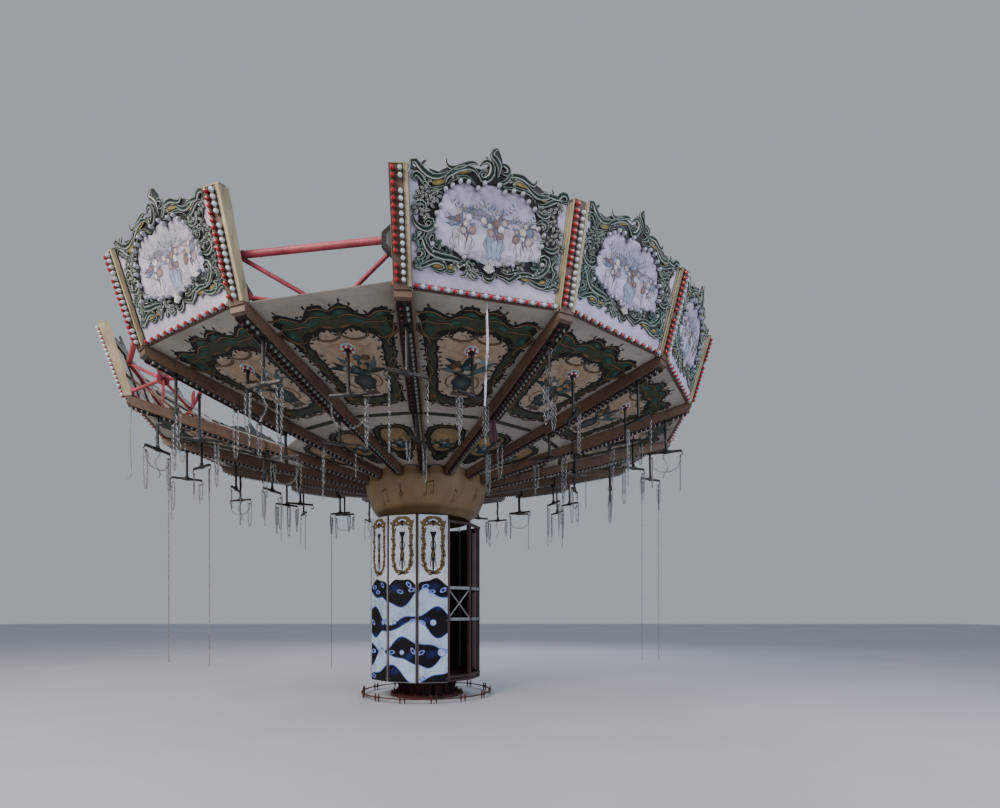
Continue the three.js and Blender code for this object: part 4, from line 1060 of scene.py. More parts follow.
# Half-width of each carved stroke, and the u and v of the points that it runs through.
FRAME_STROKES = (
    (26, -855, 1140, -910, 1160, -915, 1200, -870, 1215, -820, 1170, -750, 1120, -665, 1100, -570, 1130,
     -495, 1185),
    (17, -810, 1155, -785, 1205, -750, 1240),
    (17, -720, 1170, -685, 1150, -630, 1140, -565, 1140),
    (22, -540, 1295, -530, 1240, -480, 1215, -390, 1240, -305, 1285, -230, 1310, -185, 1295),
    (24, -545, 1045, -535, 1115, -475, 1170, -390, 1220, -290, 1250, -215, 1240, -175, 1190),
    (14, -525, 1055, -460, 1110, -375, 1150, -300, 1160, -240, 1130, -190, 1090),
    (26, -165, 1290, -105, 1345, -40, 1330, -20, 1265, -60, 1185, -125, 1160, -165, 1195, -130, 1240,
     -85, 1235),
    (23, 40, 1215, 55, 1310, 15, 1370, -35, 1410, -15, 1460, 30, 1485),
    (15, -65, 1335, -100, 1390),
    (20, 45, 1325, 105, 1345, 165, 1310, 150, 1265, 95, 1265, 80, 1295),
    (18, 65, 1170, 125, 1185, 175, 1240, 180, 1290),
    (23, 130, 1200, 175, 1250, 245, 1265, 325, 1260, 390, 1230, 445, 1210, 485, 1230, 495, 1270),
    (15, 85, 1160, 160, 1130, 235, 1145, 315, 1140, 395, 1130, 465, 1095, 505, 1040),
    (22, 350, 1220, 425, 1160, 495, 1115, 575, 1105, 655, 1130, 700, 1175, 685, 1215),
    (24, 540, 1125, 620, 1145, 705, 1135, 760, 1130, 790, 1175, 845, 1185, 885, 1155, 870, 1110, 820,
     1115),
    (20, 515, 1035, 605, 1035, 690, 1080, 765, 1105, 810, 1075, 805, 1030),
    (22, -680, 985, -755, 1015, -805, 1070, -860, 1100, -885, 1060, -835, 1040),
    (17, -740, 975, -670, 985, -605, 1005, -545, 1040),
    (17, -730, 900, -665, 965, -605, 985, -560, 960),
    (25, -885, 715, -860, 645, -795, 600, -720, 595, -665, 640, -675, 685, -725, 690, -755, 660, -725,
     635),
    (18, -800, 725, -755, 790, -775, 840, -845, 825, -885, 765, -855, 735),
    (28, -830, 560, -770, 515, -740, 450, -700, 390, -625, 360, -530, 350, -425, 350, -335, 335, -270,
     305),
    (22, -535, 415, -615, 410, -685, 440, -720, 500, -695, 555, -645, 560, -640, 520, -675, 500),
    (22, -865, 270, -855, 220, -790, 220, -710, 260, -640, 295, -560, 295, -500, 260, -535, 215, -610,
     210, -665, 240),
    (20, -510, 235, -445, 200, -395, 250, -340, 310, -275, 335, -230, 315, -195, 265, -130, 245, -70,
     260),
    (17, -335, 195, -285, 210, -260, 280),
    (17, -280, 300, -235, 235, -170, 185, -120, 215),
    (18, -80, 255, -55, 200, 0, 185, 50, 215, 60, 275),
    (22, 55, 280, 120, 245, 185, 235, 255, 205, 295, 260, 365, 295, 445, 310, 540, 300, 625, 315, 695,
     365),
    (17, 125, 315, 215, 295, 290, 320, 380, 345),
    (25, 490, 295, 595, 325, 670, 385, 700, 460, 670, 510, 610, 510, 590, 460, 640, 445),
    (20, 400, 205, 465, 255, 545, 225, 635, 205, 700, 230, 715, 285, 660, 310),
    (19, 635, 195, 720, 195, 785, 225, 840, 205, 820, 165),
    (19, 755, 545, 800, 485, 755, 425, 810, 375, 775, 300, 830, 255),
    (23, 625, 625, 685, 595, 755, 595, 805, 645, 775, 685),
    (22, 500, 1005, 545, 945, 615, 925, 670, 965, 655, 1020),
    (22, 525, 835, 585, 870, 645, 855, 645, 800, 595, 775),
    (20, -850, 555, -805, 575, -770, 555, -810, 500, -860, 470),
    (20, -845, 360, -790, 385, -755, 350, -790, 305, -845, 305),
)
# Middles of the leaf rosettes.
FRAME_ROSETTES = (
    -760 + 955j, -700 + 865j, -815 + 885j, -640 + 925j, -840 + 790j, -760 + 740j, -835 + 500j,
    -780 + 410j, -745 + 310j, -815 + 250j, -400 + 290j, -180 + 235j, 725 + 865j, 805 + 790j,
    620 + 855j, 690 + 975j, 790 + 1040j, 745 + 720j, 570 + 985j, 660 + 700j, 830 + 640j, 780 + 510j,
    770 + 400j, 800 + 310j, 735 + 250j, 230 + 1215j, -435 + 1180j, 610 + 1140j, -740 + 1060j,
    -590 + 480j, 560 + 400j, -480 + 400j, 360 + 395j, 610 + 350j, -60 + 1230j, -700 + 600j, 200 + 340j,
    -230 + 300j,
)
PETALS = 5
# Middle, half-widths and turn of each gilded inset.
FRAME_INSETS = (
    (-330 + 1205j, 95, 18, 0.3), (300 + 1190j, 95, 20, -0.15), (-440 + 262j, 60, 22, 0.05),
    (-600 + 255j, 60, 20, 0.1), (440 + 255j, 70, 18, -0.05), (640 + 255j, 50, 20, 0.2),
    (-620 + 1060j, 75, 30, 0.3), (600 + 1085j, 60, 20, -0.1),
)
# Start, end, turn, curl and kind of the two lower scrolls that the beads stand along.
BEAD_SCROLLS = ((-660 + 440j, -270 + 345j, 1.2, 1.2, "C"), (270 + 345j, 640 + 440j, 1.2, 1.2, "C"))
# The cream is cream paint and also painted highlight on raised edges and on petals, flutes and beads; the
# near-black green is dark green paint and also painted shade in grooves, at the strokes' feet and in the
# ground between them.
CREAM_AND_HIGHLIGHT, BODY, MOSS, OCHRE, TEAL = tones("#cfd4cb", "#0b1010", "#2b4a40", "#a08a4a", "#4f8f94")
# Across a reed, the cream on one edge is brighter than on the other: a painted highlight on its lit side.
REED_COLOURS = np.array([BODY, CREAM_AND_HIGHLIGHT, MOSS, BODY, MOSS * 0.8, CREAM_AND_HIGHLIGHT * 0.6, BODY])
PETAL_COLOURS = np.array([BODY, CREAM_AND_HIGHLIGHT * 0.8, MOSS, CREAM_AND_HIGHLIGHT * 0.9, BODY])
FLUTE_COLOURS = np.array([BODY, CREAM_AND_HIGHLIGHT * 0.8, CREAM_AND_HIGHLIGHT, CREAM_AND_HIGHLIGHT * 0.8, BODY])


def frame_lines():
    """What a carved frame is made of: its ground's two edges, its strokes, and the petals of its
    rosettes, which turn and grow by sines of their number."""
    inner = round_line([u + 1j * v for u, v in FRAME_LAMPS], FRAME_CENTRE, 80)
    outer = FRAME_CENTRE + (round_line(FRAME_OUT, FRAME_CENTRE, 80) - FRAME_CENTRE) * 0.97
    strokes = np.stack([stroke_line(row[1:], 12) for row in FRAME_STROKES])
    size = np.array([row[0] for row in FRAME_STROKES], float) * 1.4
    middle = np.repeat(FRAME_ROSETTES, PETALS)
    k = np.arange(len(middle))
    angle = TAU * (k % PETALS) / PETALS + 1.3 * np.sin(2.1 * (k // PETALS))
    length = 58 + 14 * np.sin(1.7 * k)
    petals = leaf_lines(middle + 9 * np.exp(1j * angle), angle, length, 0.9 * np.sin(k // PETALS), 4)
    return inner, outer, strokes, size, petals


def carved_frame(place, lines):
    """One carved frame: a dark ground of paint and painted shade, gilded insets, reeded strokes with painted
    highlights and shade, rosettes that are tinted teal in the lower corners, beads in the lower
    scrolls, and a shell of nine flutes."""
    inner, outer, strokes, size, petals = lines
    # The ground: near-black green, dark green paint and painted shade in the gaps between the strokes.
    yield band(place, inner, outer, 0.4, 7, BODY)
    for at, across, up, turn in FRAME_INSETS:
        line = blob(at, across, up, 0.06, 3, 1.0, turn, 14)
        yield patch(place, line, at, 14, 8, OCHRE, OCHRE * 0.4, 1)
    yield ridges(place, strokes, size, size * 0.95, REED_COLOURS, base=8.0, taper=0.25)
    low_corner = (np.abs(petals[:, 0].real) > 450) & (petals[:, 0].imag < 560)
    tinted = np.where(PETAL_COLOURS[:, :1] > 0.2, TEAL, PETAL_COLOURS)
    shades = np.where(low_corner[:, None, None], 0.5 * (PETAL_COLOURS + tinted), PETAL_COLOURS)
    yield ridges(place, petals, 22, 27, shades, PETAL, 0.25, 7.0)
    beads = scroll_lines(BEAD_SCROLLS, 10).ravel() * MM
    at = facing(place, beads.real, beads.imag, 0.03)
    bead = revolved(np.array([(0, -8), (9, -4), (10, 3), (0, 11)]) * MM, 6, np.array([BODY] + [CREAM_AND_HIGHLIGHT] * 3))
    yield copies(bead, at[:, :3], at[:, 3:])
    fan = np.linspace(-1.15, 1.15, 9)
    flutes = leaf_lines(-8 + 262j, math.pi / 2 - fan, 118 - 26 * np.abs(fan), 0.12 * fan)
    yield ridges(place, flutes, 13, 34, FLUTE_COLOURS, FLUTE, base=8.0)


def carved_frames():
    """The same frame on every board."""
    lines = frame_lines()
    for bay in range(ARMS):
        if bay not in BARE_BAYS:
            piece(f"carved_frame_{bay + 1:02d}", carved_frame(on_board(bay), lines), "carving")


# Painted panels: thin brushed shapes, in millimetres on a face

# An urn's half-width and height, as shares of its own.
URN = (
    (0, 0), (0.5, 0), (0.42, 0.06), (0.2, 0.15), (0.62, 0.34), (0.95, 0.58), (0.7, 0.8), (0.42, 0.9),
    (0.62, 1), (0, 1),
)
# Middle, half-widths and two colours of the soft shapes behind a board's urns.
PICTURE_GROUNDS = (
    (930j, 430, 170, "#8f92aa", "#b6afc2"), (-230 + 760j, 300, 130, "#a5a2b8", "#bab3c6"),
    (260 + 690j, 260, 150, "#bdb0ba", "#b9b1c2"), (430j, 480, 60, "#a097ac", "#bab2c6"),
)
# Left end, right end and level of each swag of leaves.
SWAGS = ((-470, -90, 860), (-90, 250, 880), (250, 500, 800))
# Foot, half-width, height, reach of its flowers and colour of each urn in a board's picture.
PICTURE_URNS = (
    (-330 + 405j, 150, 230, 165, "#d3cddb"), (40 + 400j, 130, 270, 150, "#a3aec8"),
    (390 + 415j, 125, 220, 140, "#d8d3df"),
)
URN_BLOOMS = 8
SWAG_TONES = tones("#6f7a86", "#8a7f7a", "#626b80")
BLOOM_TONES = tones("#cfc3cb", "#a88f8e", "#dad6e0", "#8d7673", "#bfaeb2", "#8790a8", "#cdc6c2")
SEPIA, SLATE = tones("#5b4c52", "#66718c")


def urn_line(foot, half, tall, count=28):
    """An urn's closed outline on its foot, and a point in its belly."""
    row = np.array(URN)
    line = foot + mirrored(half * row[:, 0] + 1j * tall * row[:, 1])
    at = foot + 0.55j * tall
    return round_line(line, at, count), at


def picture_urn(place, k):
    """One urn of a board's picture, with fluting, and a heap of sprigs and outlined flowers on it."""
    foot, half, tall, reach, code = PICTURE_URNS[k]
    line, at = urn_line(foot, half, tall)
    yield from ringed(place, line, at, 1.8, linear(code), linear(code) * 0.75, SEPIA)
    flutes = [
        (at + (0.5 * half * j - 0.3j * tall), at + (0.75 * half * j + 0.25j * tall), 0.3 * j, 0.1, "C")
        for j in (-1, -0.4, 0.4, 1)
    ]
    yield ridges(place, scroll_lines(flutes, 5), 3, 0.4, SEPIA * 1.2, FLAT, 0.4, 3.2)
    heap = foot + 1j * (tall + 0.55 * reach)
    m = np.arange(16)
    length = reach * (0.95 + 0.3 * np.sin(1.7 * m + k))
    sprigs = leaf_lines(heap + 0 * m, 2.4 * m, length, 0.8 * np.sin(m), 4)
    shades = np.array([SLATE, SEPIA * 1.4])[m % 2][:, None]
    yield ridges(place, sprigs, 13, 0.6, shades, FLAT, 0.15, 2.2)
    for j in range(URN_BLOOMS):
        bloom = URN_BLOOMS * k + j
        far = reach * math.sqrt((j + 0.5) / URN_BLOOMS)
        at = heap + far * (math.cos(2.4 * j + k) + 0.75j * math.sin(2.4 * j + k))
        size = 36 + 9 * math.sin(3 * j + k)
        tone = BLOOM_TONES[(3 * bloom) % len(BLOOM_TONES)]
        line = blob(at, size, size * 0.9, 0.1, 5, 1.3 * bloom, 0.2 * bloom, 12)
        yield from ringed(place, line, at, 3.0 + 0.05 * bloom, tone, tone * 0.7, SEPIA, 3.0)


def picture(bay):
    """A garden in pale oils on a board: three low urns heaped with flowers, under swags of leaves and
    a blue-grey sky."""
    place = on_board(bay)
    for at, across, up, inside, edge in PICTURE_GROUNDS:
        line = blob(at, across, up, 0.05, 4, 0.7, 0, 24)
        yield patch(place, line, at, 0.3, 0.4, linear(inside), linear(edge), 2)
    t = np.linspace(0, 1, 18)
    left, right, low = np.transpose(SWAGS)[..., None]
    curves = left + (right - left) * t + 1j * (low + 300 * (t - 0.5) ** 2)
    way = np.angle(np.gradient(curves, axis=1)) + np.where(np.arange(len(t)) % 2, 0.9, -0.9)
    leaves = leaf_lines(curves.ravel(), way.ravel(), 50, 0.5, 4)
    shades = SWAG_TONES[np.arange(len(leaves)) % 3][:, None]
    yield ridges(place, leaves, 10, 0.6, shades, FLAT, 0.2, 1.2)
    for k in range(len(PICTURE_URNS)):
        yield from picture_urn(place, k)


# The outer painting: its middle, and its border's outer and inner edges on the side with u over 0.
CARTOUCHE_AT = 3900j
CARTOUCHE_OUT = (
    4690j, 90 + 4745j, 170 + 4770j, 240 + 4750j, 285 + 4690j, 330 + 4610j, 400 + 4570j, 470 + 4600j,
    545 + 4650j, 640 + 4665j, 735 + 4655j, 795 + 4610j, 775 + 4550j, 700 + 4530j, 650 + 4470j,
    670 + 4410j, 742 + 4360j, 735 + 4280j, 660 + 4220j, 630 + 4120j, 620 + 4020j, 570 + 3900j,
    520 + 3780j, 545 + 3660j, 505 + 3516j, 450 + 3420j, 470 + 3280j, 430 + 3160j, 455 + 3020j,
    410 + 2920j, 310 + 2950j, 210 + 2890j, 100 + 2930j, 2880j,
)
CARTOUCHE_IN = (
    4290j, 60 + 4330j, 150 + 4385j, 235 + 4360j, 290 + 4290j, 380 + 4280j, 450 + 4200j, 470 + 4110j,
    420 + 4040j, 435 + 3940j, 395 + 3850j, 375 + 3700j, 370 + 3560j, 325 + 3450j, 315 + 3330j,
    295 + 3230j, 265 + 3170j, 180 + 3130j, 90 + 3110j, 3115j,
)
NIGHT, OLIVE, BRONZE, JADE, PEACH = tones("#16130f", "#3b3a24", "#7a5f3e", "#33594b", "#a5835f")
# Start, end, turn, curl, kind and half-width of each big scroll on the side with u over 0.
CARTOUCHE_SCROLLS = (
    (4680j, 240 + 4715j, -2.0, 2.2, "C", 20),
    (60 + 4590j, 400 + 4530j, -2.2, 2.0, "C", 20),
    (420 + 4560j, 785 + 4600j, -2.4, 2.8, "C", 24),
    (330 + 4400j, 640 + 4510j, 1.8, 2.2, "S", 20),
    (715 + 4400j, 590 + 4080j, 2.2, 2.4, "S", 24),
    (480 + 4260j, 640 + 4440j, 2.2, 2.6, "C", 20),
    (30 + 4350j, 330 + 4340j, 2.0, 2.0, "C", 20),
    (610 + 4030j, 480 + 3760j, -2.0, 2.4, "C", 20),
    (500 + 3830j, 470 + 3540j, 2.2, 2.4, "S", 20),
    (470 + 3560j, 400 + 3300j, -2.0, 2.4, "C", 20),
    (430 + 3330j, 410 + 3010j, 2.0, 2.4, "S", 22),
    (400 + 3000j, 210 + 2950j, -2.2, 2.4, "C", 20),
    (30 + 2960j, 250 + 3060j, 2.2, 2.6, "C", 20),
)
# Middle, half-widths, turn and fill of the insets in the border, on the side with u over 0.
CARTOUCHE_INSETS = (
    (300 + 4490j, 150, 48, -0.35, JADE), (590 + 4570j, 95, 40, 0.15, JADE), (600 + 4330j, 62, 80, 0.3, JADE),
    (120 + 4640j, 85, 38, 0.2, JADE), (550 + 4100j, 40, 75, 0.2, OLIVE), (430 + 3560j, 34, 80, 0.1, OLIVE),
    (350 + 3080j, 60, 45, 0.3, BRONZE), (110 + 4430j, 90, 22, 0.2, BRONZE),
)
# The inner painting's middle, and the same two edges of its oval.
OVAL_AT = 1990j
OVAL_IN = (1650j, 90 + 1660j, 160 + 1760j, 200 + 1950j, 215 + 2150j, 150 + 2290j, 2310j)
OVAL_OUT = (
    1345j, 100 + 1370j, 140 + 1480j, 150 + 1600j, 240 + 1740j, 285 + 1950j, 320 + 2200j, 290 + 2330j,
    180 + 2400j, 70 + 2390j, 2430j,
)
# u and v of the points that the bar between the two paintings runs round.
CROSS_BAR = (-415, 2625, -429, 2650, -415, 2690, 0, 2697, 415, 2690, 429, 2650, 415, 2625, 0, 2618)
POSY_GREENS = tones("#1d2b2e", "#33453c", "#15191c", "#47595a")
POSY_TONES = tones("#8f9a9c", "#a9825e", "#4d6168", "#c2baa6", "#6b4f3c")
STEP_BROWN, URN_GREY, URN_BLACK, HANDLE_BROWN = tones("#4d4236", "#4c5552", "#1b1d20", "#59493a")
FIELD_OCHRE, FIELD_EDGE, RING_WHITE, THROAT_RED = tones("#9c7f55", "#7d6a4a", "#c9cbd0", "#8e2730")


def posy(place, foot, size, spread, lean, seed, flowers=7):
    """A bunch of leaves and round flowers over a point: leaves of `size` in a fan, flowers inside it."""
    k = np.arange(14)
    angle = math.pi / 2 + lean + spread * np.sin(2.4 * k + seed)
    length = size * (0.75 + 0.3 * np.cos(1.7 * k))
    stems = leaf_lines(foot + 0.1 * size * np.sin(3 * k), angle, length, 0.5 * np.cos(k), 5)
    yield ridges(place, stems, 0.11 * size, 0.6, POSY_GREENS[k % 4][:, None], FLAT, 0.15, 1.2)
    for j in range(flowers):
        across, up = 0.42 * spread * math.sin(2.4 * j + seed), 0.5 + 0.28 * math.cos(1.9 * j + seed)
        at = foot + size * (across + 1j * up)
        tone = POSY_TONES[(j + int(seed)) % 5]
        line = blob(at, 0.13 * size, 0.12 * size, 0.14, 5, j, 0, 12)
        yield from ringed(place, line, at, 1.9 + 0.04 * j, tone, tone * 0.5, NIGHT, 3.0)


def cartouche(place, turned):
    """The outer ceiling painting: a dark border with jade insets, bronze scrolls and leaves that break
    its edges, round a peach field with an urn of flowers that leans to one side or the other."""
    inner, outer = (round_line(mirrored(line), CARTOUCHE_AT, 100) for line in (CARTOUCHE_IN, CARTOUCHE_OUT))
    away = np.angle(outer - CARTOUCHE_AT)
    ragged = 1 + 0.012 * np.sin(42 * away) + 0.008 * np.sin(23 * away)
    outer = CARTOUCHE_AT + (outer - CARTOUCHE_AT) * ragged
    core_in, core_out = inner * 0.78 + outer * 0.22, inner * 0.24 + outer * 0.76
    field = 3760j + (inner - 3760j) * 1.04
    yield patch(place, field, 4050j, 0.3, 0.3, PEACH, GREIGE * 0.75 + PEACH * 0.25, 2)
    yield band(place, inner, outer, 0.3, 0.9, NIGHT)
    yield band(place, core_in, core_out, 0.9, 0.9, OLIVE, OLIVE * 0.7 + JADE * 0.2)
    for at, across, up, turn, fill in CARTOUCHE_INSETS:
        for mid, way in ((at, turn), (-at.conjugate(), -turn)):
            line = blob(mid, across, up, 0.07, 3, 1.1, way, 16)
            yield patch(place, line, mid, 1.5, 0.9, fill, fill * 0.35, 1)
    lines = mirrored(scroll_lines([row[:5] for row in CARTOUCHE_SCROLLS], 11))
    half = np.tile([row[5] for row in CARTOUCHE_SCROLLS], 2)
    yield ridges(place, lines, half * 0.9, 0.9, NIGHT, FLAT, 0.35, 2.2)
    yield ridges(place, lines, half * 0.36, 0.6, BRONZE, FLAT, 0.3, 3.0)
    edge = np.concatenate([outer[::2], inner[1::3]])
    k = np.arange(len(edge))
    back = np.where(k < len(outer) // 2, 0, math.pi)
    angle = np.angle(edge - CARTOUCHE_AT) + 0.9 * np.sin(1.9 * k) + back
    leaves = leaf_lines(edge, angle, 54 + 16 * np.sin(2.7 * k), 1.1 * np.cos(2.3 * k), 4)
    yield ridges(place, leaves, 17, 0.7, NIGHT, FLAT, 0.15, 0.8)
    step = np.array([-130 + 3150j, 130 + 3150j, 95 + 3235j, -95 + 3235j])
    yield slab(place, step, 0.8, 0.5, STEP_BROWN)
    line, at = urn_line(3225j, 165, 350)
    yield from ringed(place, line, at, 0.8, URN_GREY, URN_BLACK, NIGHT)
    handles = mirrored(scroll_lines([(115 + 3340j, 115 + 3530j, 2.8, 2.4, "C")], 8))
    yield ridges(place, handles, 13, 0.7, HANDLE_BROWN, FLAT, 0.4, 1.4)
    yield from posy(place, 3560j, 430, 1.0, 0.14 if turned else -0.14, 1.0 + 2 * turned)


def inner_oval(place):
    """The inner ceiling painting: a dark leafy oval round an ochre field with a posy."""
    inner, outer = (round_line(mirrored(line), OVAL_AT, 48) for line in (OVAL_IN, OVAL_OUT))
    outer = OVAL_AT + (outer - OVAL_AT) * (1 + 0.03 * np.sin(11 * np.angle(outer - OVAL_AT)))
    k = np.arange(24)
    way = np.angle(outer[::2] - OVAL_AT) + np.sin(1.9 * k)
    leaves = leaf_lines(outer[::2], way, 42, 1.2 * np.cos(2.3 * k), 4)
    yield patch(place, inner, OVAL_AT, 0.3, 0.3, FIELD_OCHRE, FIELD_EDGE, 1)
    yield band(place, inner, outer, 0.3, 0.9, NIGHT)
    yield band(place, inner * 0.6 + outer * 0.4, inner * 0.35 + outer * 0.65, 0.9, 0.7, OLIVE, BRONZE * 0.6)
    yield ridges(place, leaves, 14, 0.7, NIGHT, FLAT, 0.15, 0.8)
    yield patch(place, blob(1450j, 115, 85, 0.12, 6, 0, 0, 16), 1450j, 1.3, 0.6, OLIVE, NIGHT, 1)
    yield from posy(place, 1720j, 330, 0.75, 0.0, 2.0, 5)


def cross_bar(place):
    """The dark painted bar between the two ceiling paintings, with an olive core."""
    line = stroke_line(CROSS_BAR, 20, closed=True)
    core = 2656j + (line - 2656j) * 0.62
    core = core.real * 1.5 + 1j * core.imag
    return [slab(place, line, 0.3, 0.9, NIGHT), slab(place, core, 1.2, 0.6, OLIVE * 0.8)]


def ceiling_painting(bay):
    """What is painted on a bay's ceiling. The open bay has only the inner part."""
    place = on_ceiling(bay)
    yield from inner_oval(place)
    if bay != OPEN_BAY:
        yield from cross_bar(place)
        yield from cartouche(place, bay % 2)


def hole_rim(bay):
    """A white enamelled ring round the rod's hole in a bay's ceiling, with a red throat."""
    at = 1000j * BAY_HANGER[0]
    ring = blob(at, 1, 1, 0, 1, count=20) - at
    white = band(on_ceiling(bay), at + 60 * ring, at + 98 * ring, 0.4, 5, RING_WHITE)
    return [white, band(on_ceiling(bay), at + 44 * ring, at + 60 * ring, -6, 10, THROAT_RED)]


def paintings():
    """The boards' and the ceiling's paintings, and the rims of the holes."""
    boards = [part for bay in range(ARMS) if bay not in BARE_BAYS for part in picture(bay)]
    piece("board_paintings", boards, "sign_paint", sharp=50)
    in_quarters("ceiling_paintings", ceiling_painting, "sign_paint", sharp=50)
    rims = [part for bay in range(ARMS) if bay != OPEN_BAY for part in hole_rim(bay)]
    piece("hole_rims", rims, "sign_paint")


# The arms

CROSS_LEVEL = ceiling_level(BAY_HANGER[0]) + 0.13  # of the tube that a bay's hanger hangs from
LIP = np.array([(0, -0.024), (0.013, -0.024), (0.013, 0.004), (0, 0.004)])
LIP_BROWN, CHANNEL_RED = tones("#6d5343", "#2c1512")
# Distance from the rod's line, half-width and half-height of a yoke's bar, from middle to end.
YOKE = np.array([
    (0.03, 0.034, 0.03), (0.045, 0.024, 0.026), (0.1, 0.0212, 0.0195), (0.24, 0.0215, 0.0185),
    (0.256, 0.018, 0.015), (0.266, 0.006, 0.006),
])
YOKE_HALF_RING = np.array([(1, 0.6), (0.7, 1), (-0.7, 1), (-1, 0.6)])
YOKE_RING = np.vstack([YOKE_HALF_RING, -YOKE_HALF_RING])
LINK_PITCH = 0.0335
LINK_ROUND, LINK_STRAIGHT, LINK_WIRE = 0.0125, 0.0105, 0.0042  # radius, half-length of the sides, wire
# How far the ends of five chains reach down, by hanger and side.
LONG_ENDS = {(41, 1): 3.45, (42, 0): 3.35, (34, 1): 3.5, (15, 0): 3.65, (15, 1): 3.6}
DOWN = np.array([0, 0, -1.0])


def beam_trims(arm):
    """Lips along the two beams' lower edges, a dark channel between them, and a stepped end plate
    where the inner beam goes into the outer one."""
    place = on_arm(arm)
    beams = ((3.005, 4.955, beam_foot, OUTER_HALF), (1.2, 2.99, inner_foot, INNER_HALF))
    for start, end, level, half in beams:
        low, high = level(start), level(end)
        inset = half - 0.013
        flat = np.array([(-inset, -0.004), (inset, -0.004), (inset, 0.003), (-inset, 0.003)])
        rows = (-half - 0.0005, LIP, LIP_BROWN), (half - 0.0125, LIP, LIP_BROWN), (0, flat, CHANNEL_RED)
        for y, section, tone in rows:
            yield moulding(place, [(start, y, low), (end, y, high)], section, tone)
    low = beam_foot(ARM_STEP_R) - 0.026
    yield boxes(place, [(2.985, -0.104, low)], [(2.999, 0.104, low + 0.2)], LIP_BROWN * 0.8)


def turned_place(place, r, turn):
    """A place in along, across and up, turned about the rod's line at a distance from the axis."""
    c, s = math.cos(turn), math.sin(turn)
    return lambda x, y, z: place(r + x * c - y * s, x * s + y * c, z)


def hangers(arm):
    """An arm's two hangers and that of the bay after it: each one's place from its rod's line, its
    yoke's level and its rod's upper end."""
    found = []
    for i, (r, level) in enumerate(HANGERS):
        place = turned_place(on_arm(arm), r, math.radians(90 + 23 * arm + 40 * i))
        found.append((place, level, beam_foot(max(r, ARM_STEP_R)) - 0.004))
    place = turned_place(on_arm(arm + 0.5), BAY_HANGER[0], math.radians(90 + 31 * arm))
    return [*found, (place, BAY_HANGER[1], CROSS_LEVEL)]


def hanger_steel(arm):
    """Round rods with collars, and yokes that swell at their middle and hook down at their ends."""
    half = np.vstack([YOKE[::-1] * (-1, 1, 1), YOKE])
    t = np.linspace(0, 1, 7)
    bow = np.sin(math.pi * t)
    for place, level, top in hangers(arm):
        yield rods(place(0, 0, level), place(0, 0, top), 0.0206, 10)
        collars = (top - 0.012, 0.036, 0.012), (top - 0.05, 0.028, 0.038), (level + 0.017, 0.03, 0.05)
        for z, radius, tall in collars:
            yield rods(place(0, 0, z), place(0, 0, z + tall), radius, 10)
        ends = points(half[:, 0], 0, level)
        yield moulding(place, ends, YOKE_RING[None] * half[:, None, 1:])
        for side in (-1, 1):
            hook = place(side * (YOKE_END + 0.045 * bow), 0 * t, level - 0.01 - 0.075 * t - 0.012 * bow)
            yield carried(hook, circle(0.0075, 5), place(0, 1, 0) - place(0, 0, 0))
            end = side * YOKE_END
            yield rods(place(end, 0, level - 0.1), place(end, 0, level - 0.078), 0.014, 6)


def link():
    """One chain link: a triangular wire carried round a stadium 52 mm long, which six points make."""
    angle = TAU * np.arange(6) / 6
    end = np.array([0, 1, 1, 0, -1, -1])
    path = points(LINK_ROUND * np.cos(angle), 0 * angle, LINK_ROUND * np.sin(angle) + end * LINK_STRAIGHT)
    out = unit(path)
    ring = circle(LINK_WIRE, 3)
    made = path[:, None] + ring[None, :, :1] * out[:, None] + ring[None, :, 1:] * np.array([0, 1.0, 0])
    return made.reshape(-1, 3), loft_faces(1, 6, 3, closed=True), None


def chain(line):
    """Links along a line, each a quarter turn from the last."""
    count = max(3, int(line_length(line) / LINK_PITCH))
    at = smooth(line, count)
    way = unit(np.gradient(at, axis=0))
    across = unit(np.cross(way, (0.31, 0.95, 0.05)))
    across[1::2] = np.cross(way, across)[1::2]
    return copies(link(), at, way, across=across)


def sag(start, end, drop, count=24):
    """A chain's curve between two points: a parabola that hangs `drop` under them, rounder when deep."""
    t = np.linspace(0, 1, count)[:, None]
    bow = 1 - np.abs(2 * t - 1) ** 2.4
    flat = start + (end - start) * (0.5 - 0.5 * np.cos(math.pi * t))
    return flat - bow * np.array([0, 0, drop])


def arm_chains(arm):
    """Galvanised chains left on three yokes: narrow loops, crossed loops, wide loops between a yoke's
    hooks, single ends, a few long ends, and a chain wound down some rods."""
    made = []
    for k, (place, level, top) in enumerate(hangers(arm), 3 * arm):
        tips = [place(side * YOKE_END, 0, level - 0.1) for side in (-1, 1)]
        kind = (k * 7 + k // 5) % 8
        if kind in (3, 6):
            made.append(sag(tips[0], tips[1], 0.28 + 0.06 * math.sin(k)))
        across = 0.035 * np.array([math.cos(2.2 * k), math.sin(2.2 * k), 0])
        turned = np.array([-across[1], across[0], 0])
        for side, tip in enumerate(tips):
            share = 0.5 + 0.5 * math.sin(2.7 * k + 1.9 * side)
            if (k, side) in LONG_ENDS:
                made.append(tip + np.linspace(0, LONG_ENDS[k, side], 12)[:, None] * DOWN)
            if kind != 5 and (k + side) % 7 != 2:
                made.append(sag(tip - across, tip + across, 0.3 + 0.32 * share))
            if kind == 4 or (kind == 2 and side):
                made.append(sag(tip - turned, tip + turned, 0.22 + 0.2 * share))
            if kind in (5, 7, 0):
                made.append(tip + across / 2 + np.linspace(0, 0.35 + 0.5 * share, 8)[:, None] * DOWN)
        if k % 6 == 0:
            t = np.linspace(0, 1, 40)[:, None]
            turns = TAU * 2.5 * t + k
            wound = 0.034 * np.hstack([np.cos(turns), np.sin(turns), 0 * t])
            made.append(place(0, 0, top - 0.08) + t * DOWN * (top - level + 0.35) + wound)
    return [chain(line) for line in made]


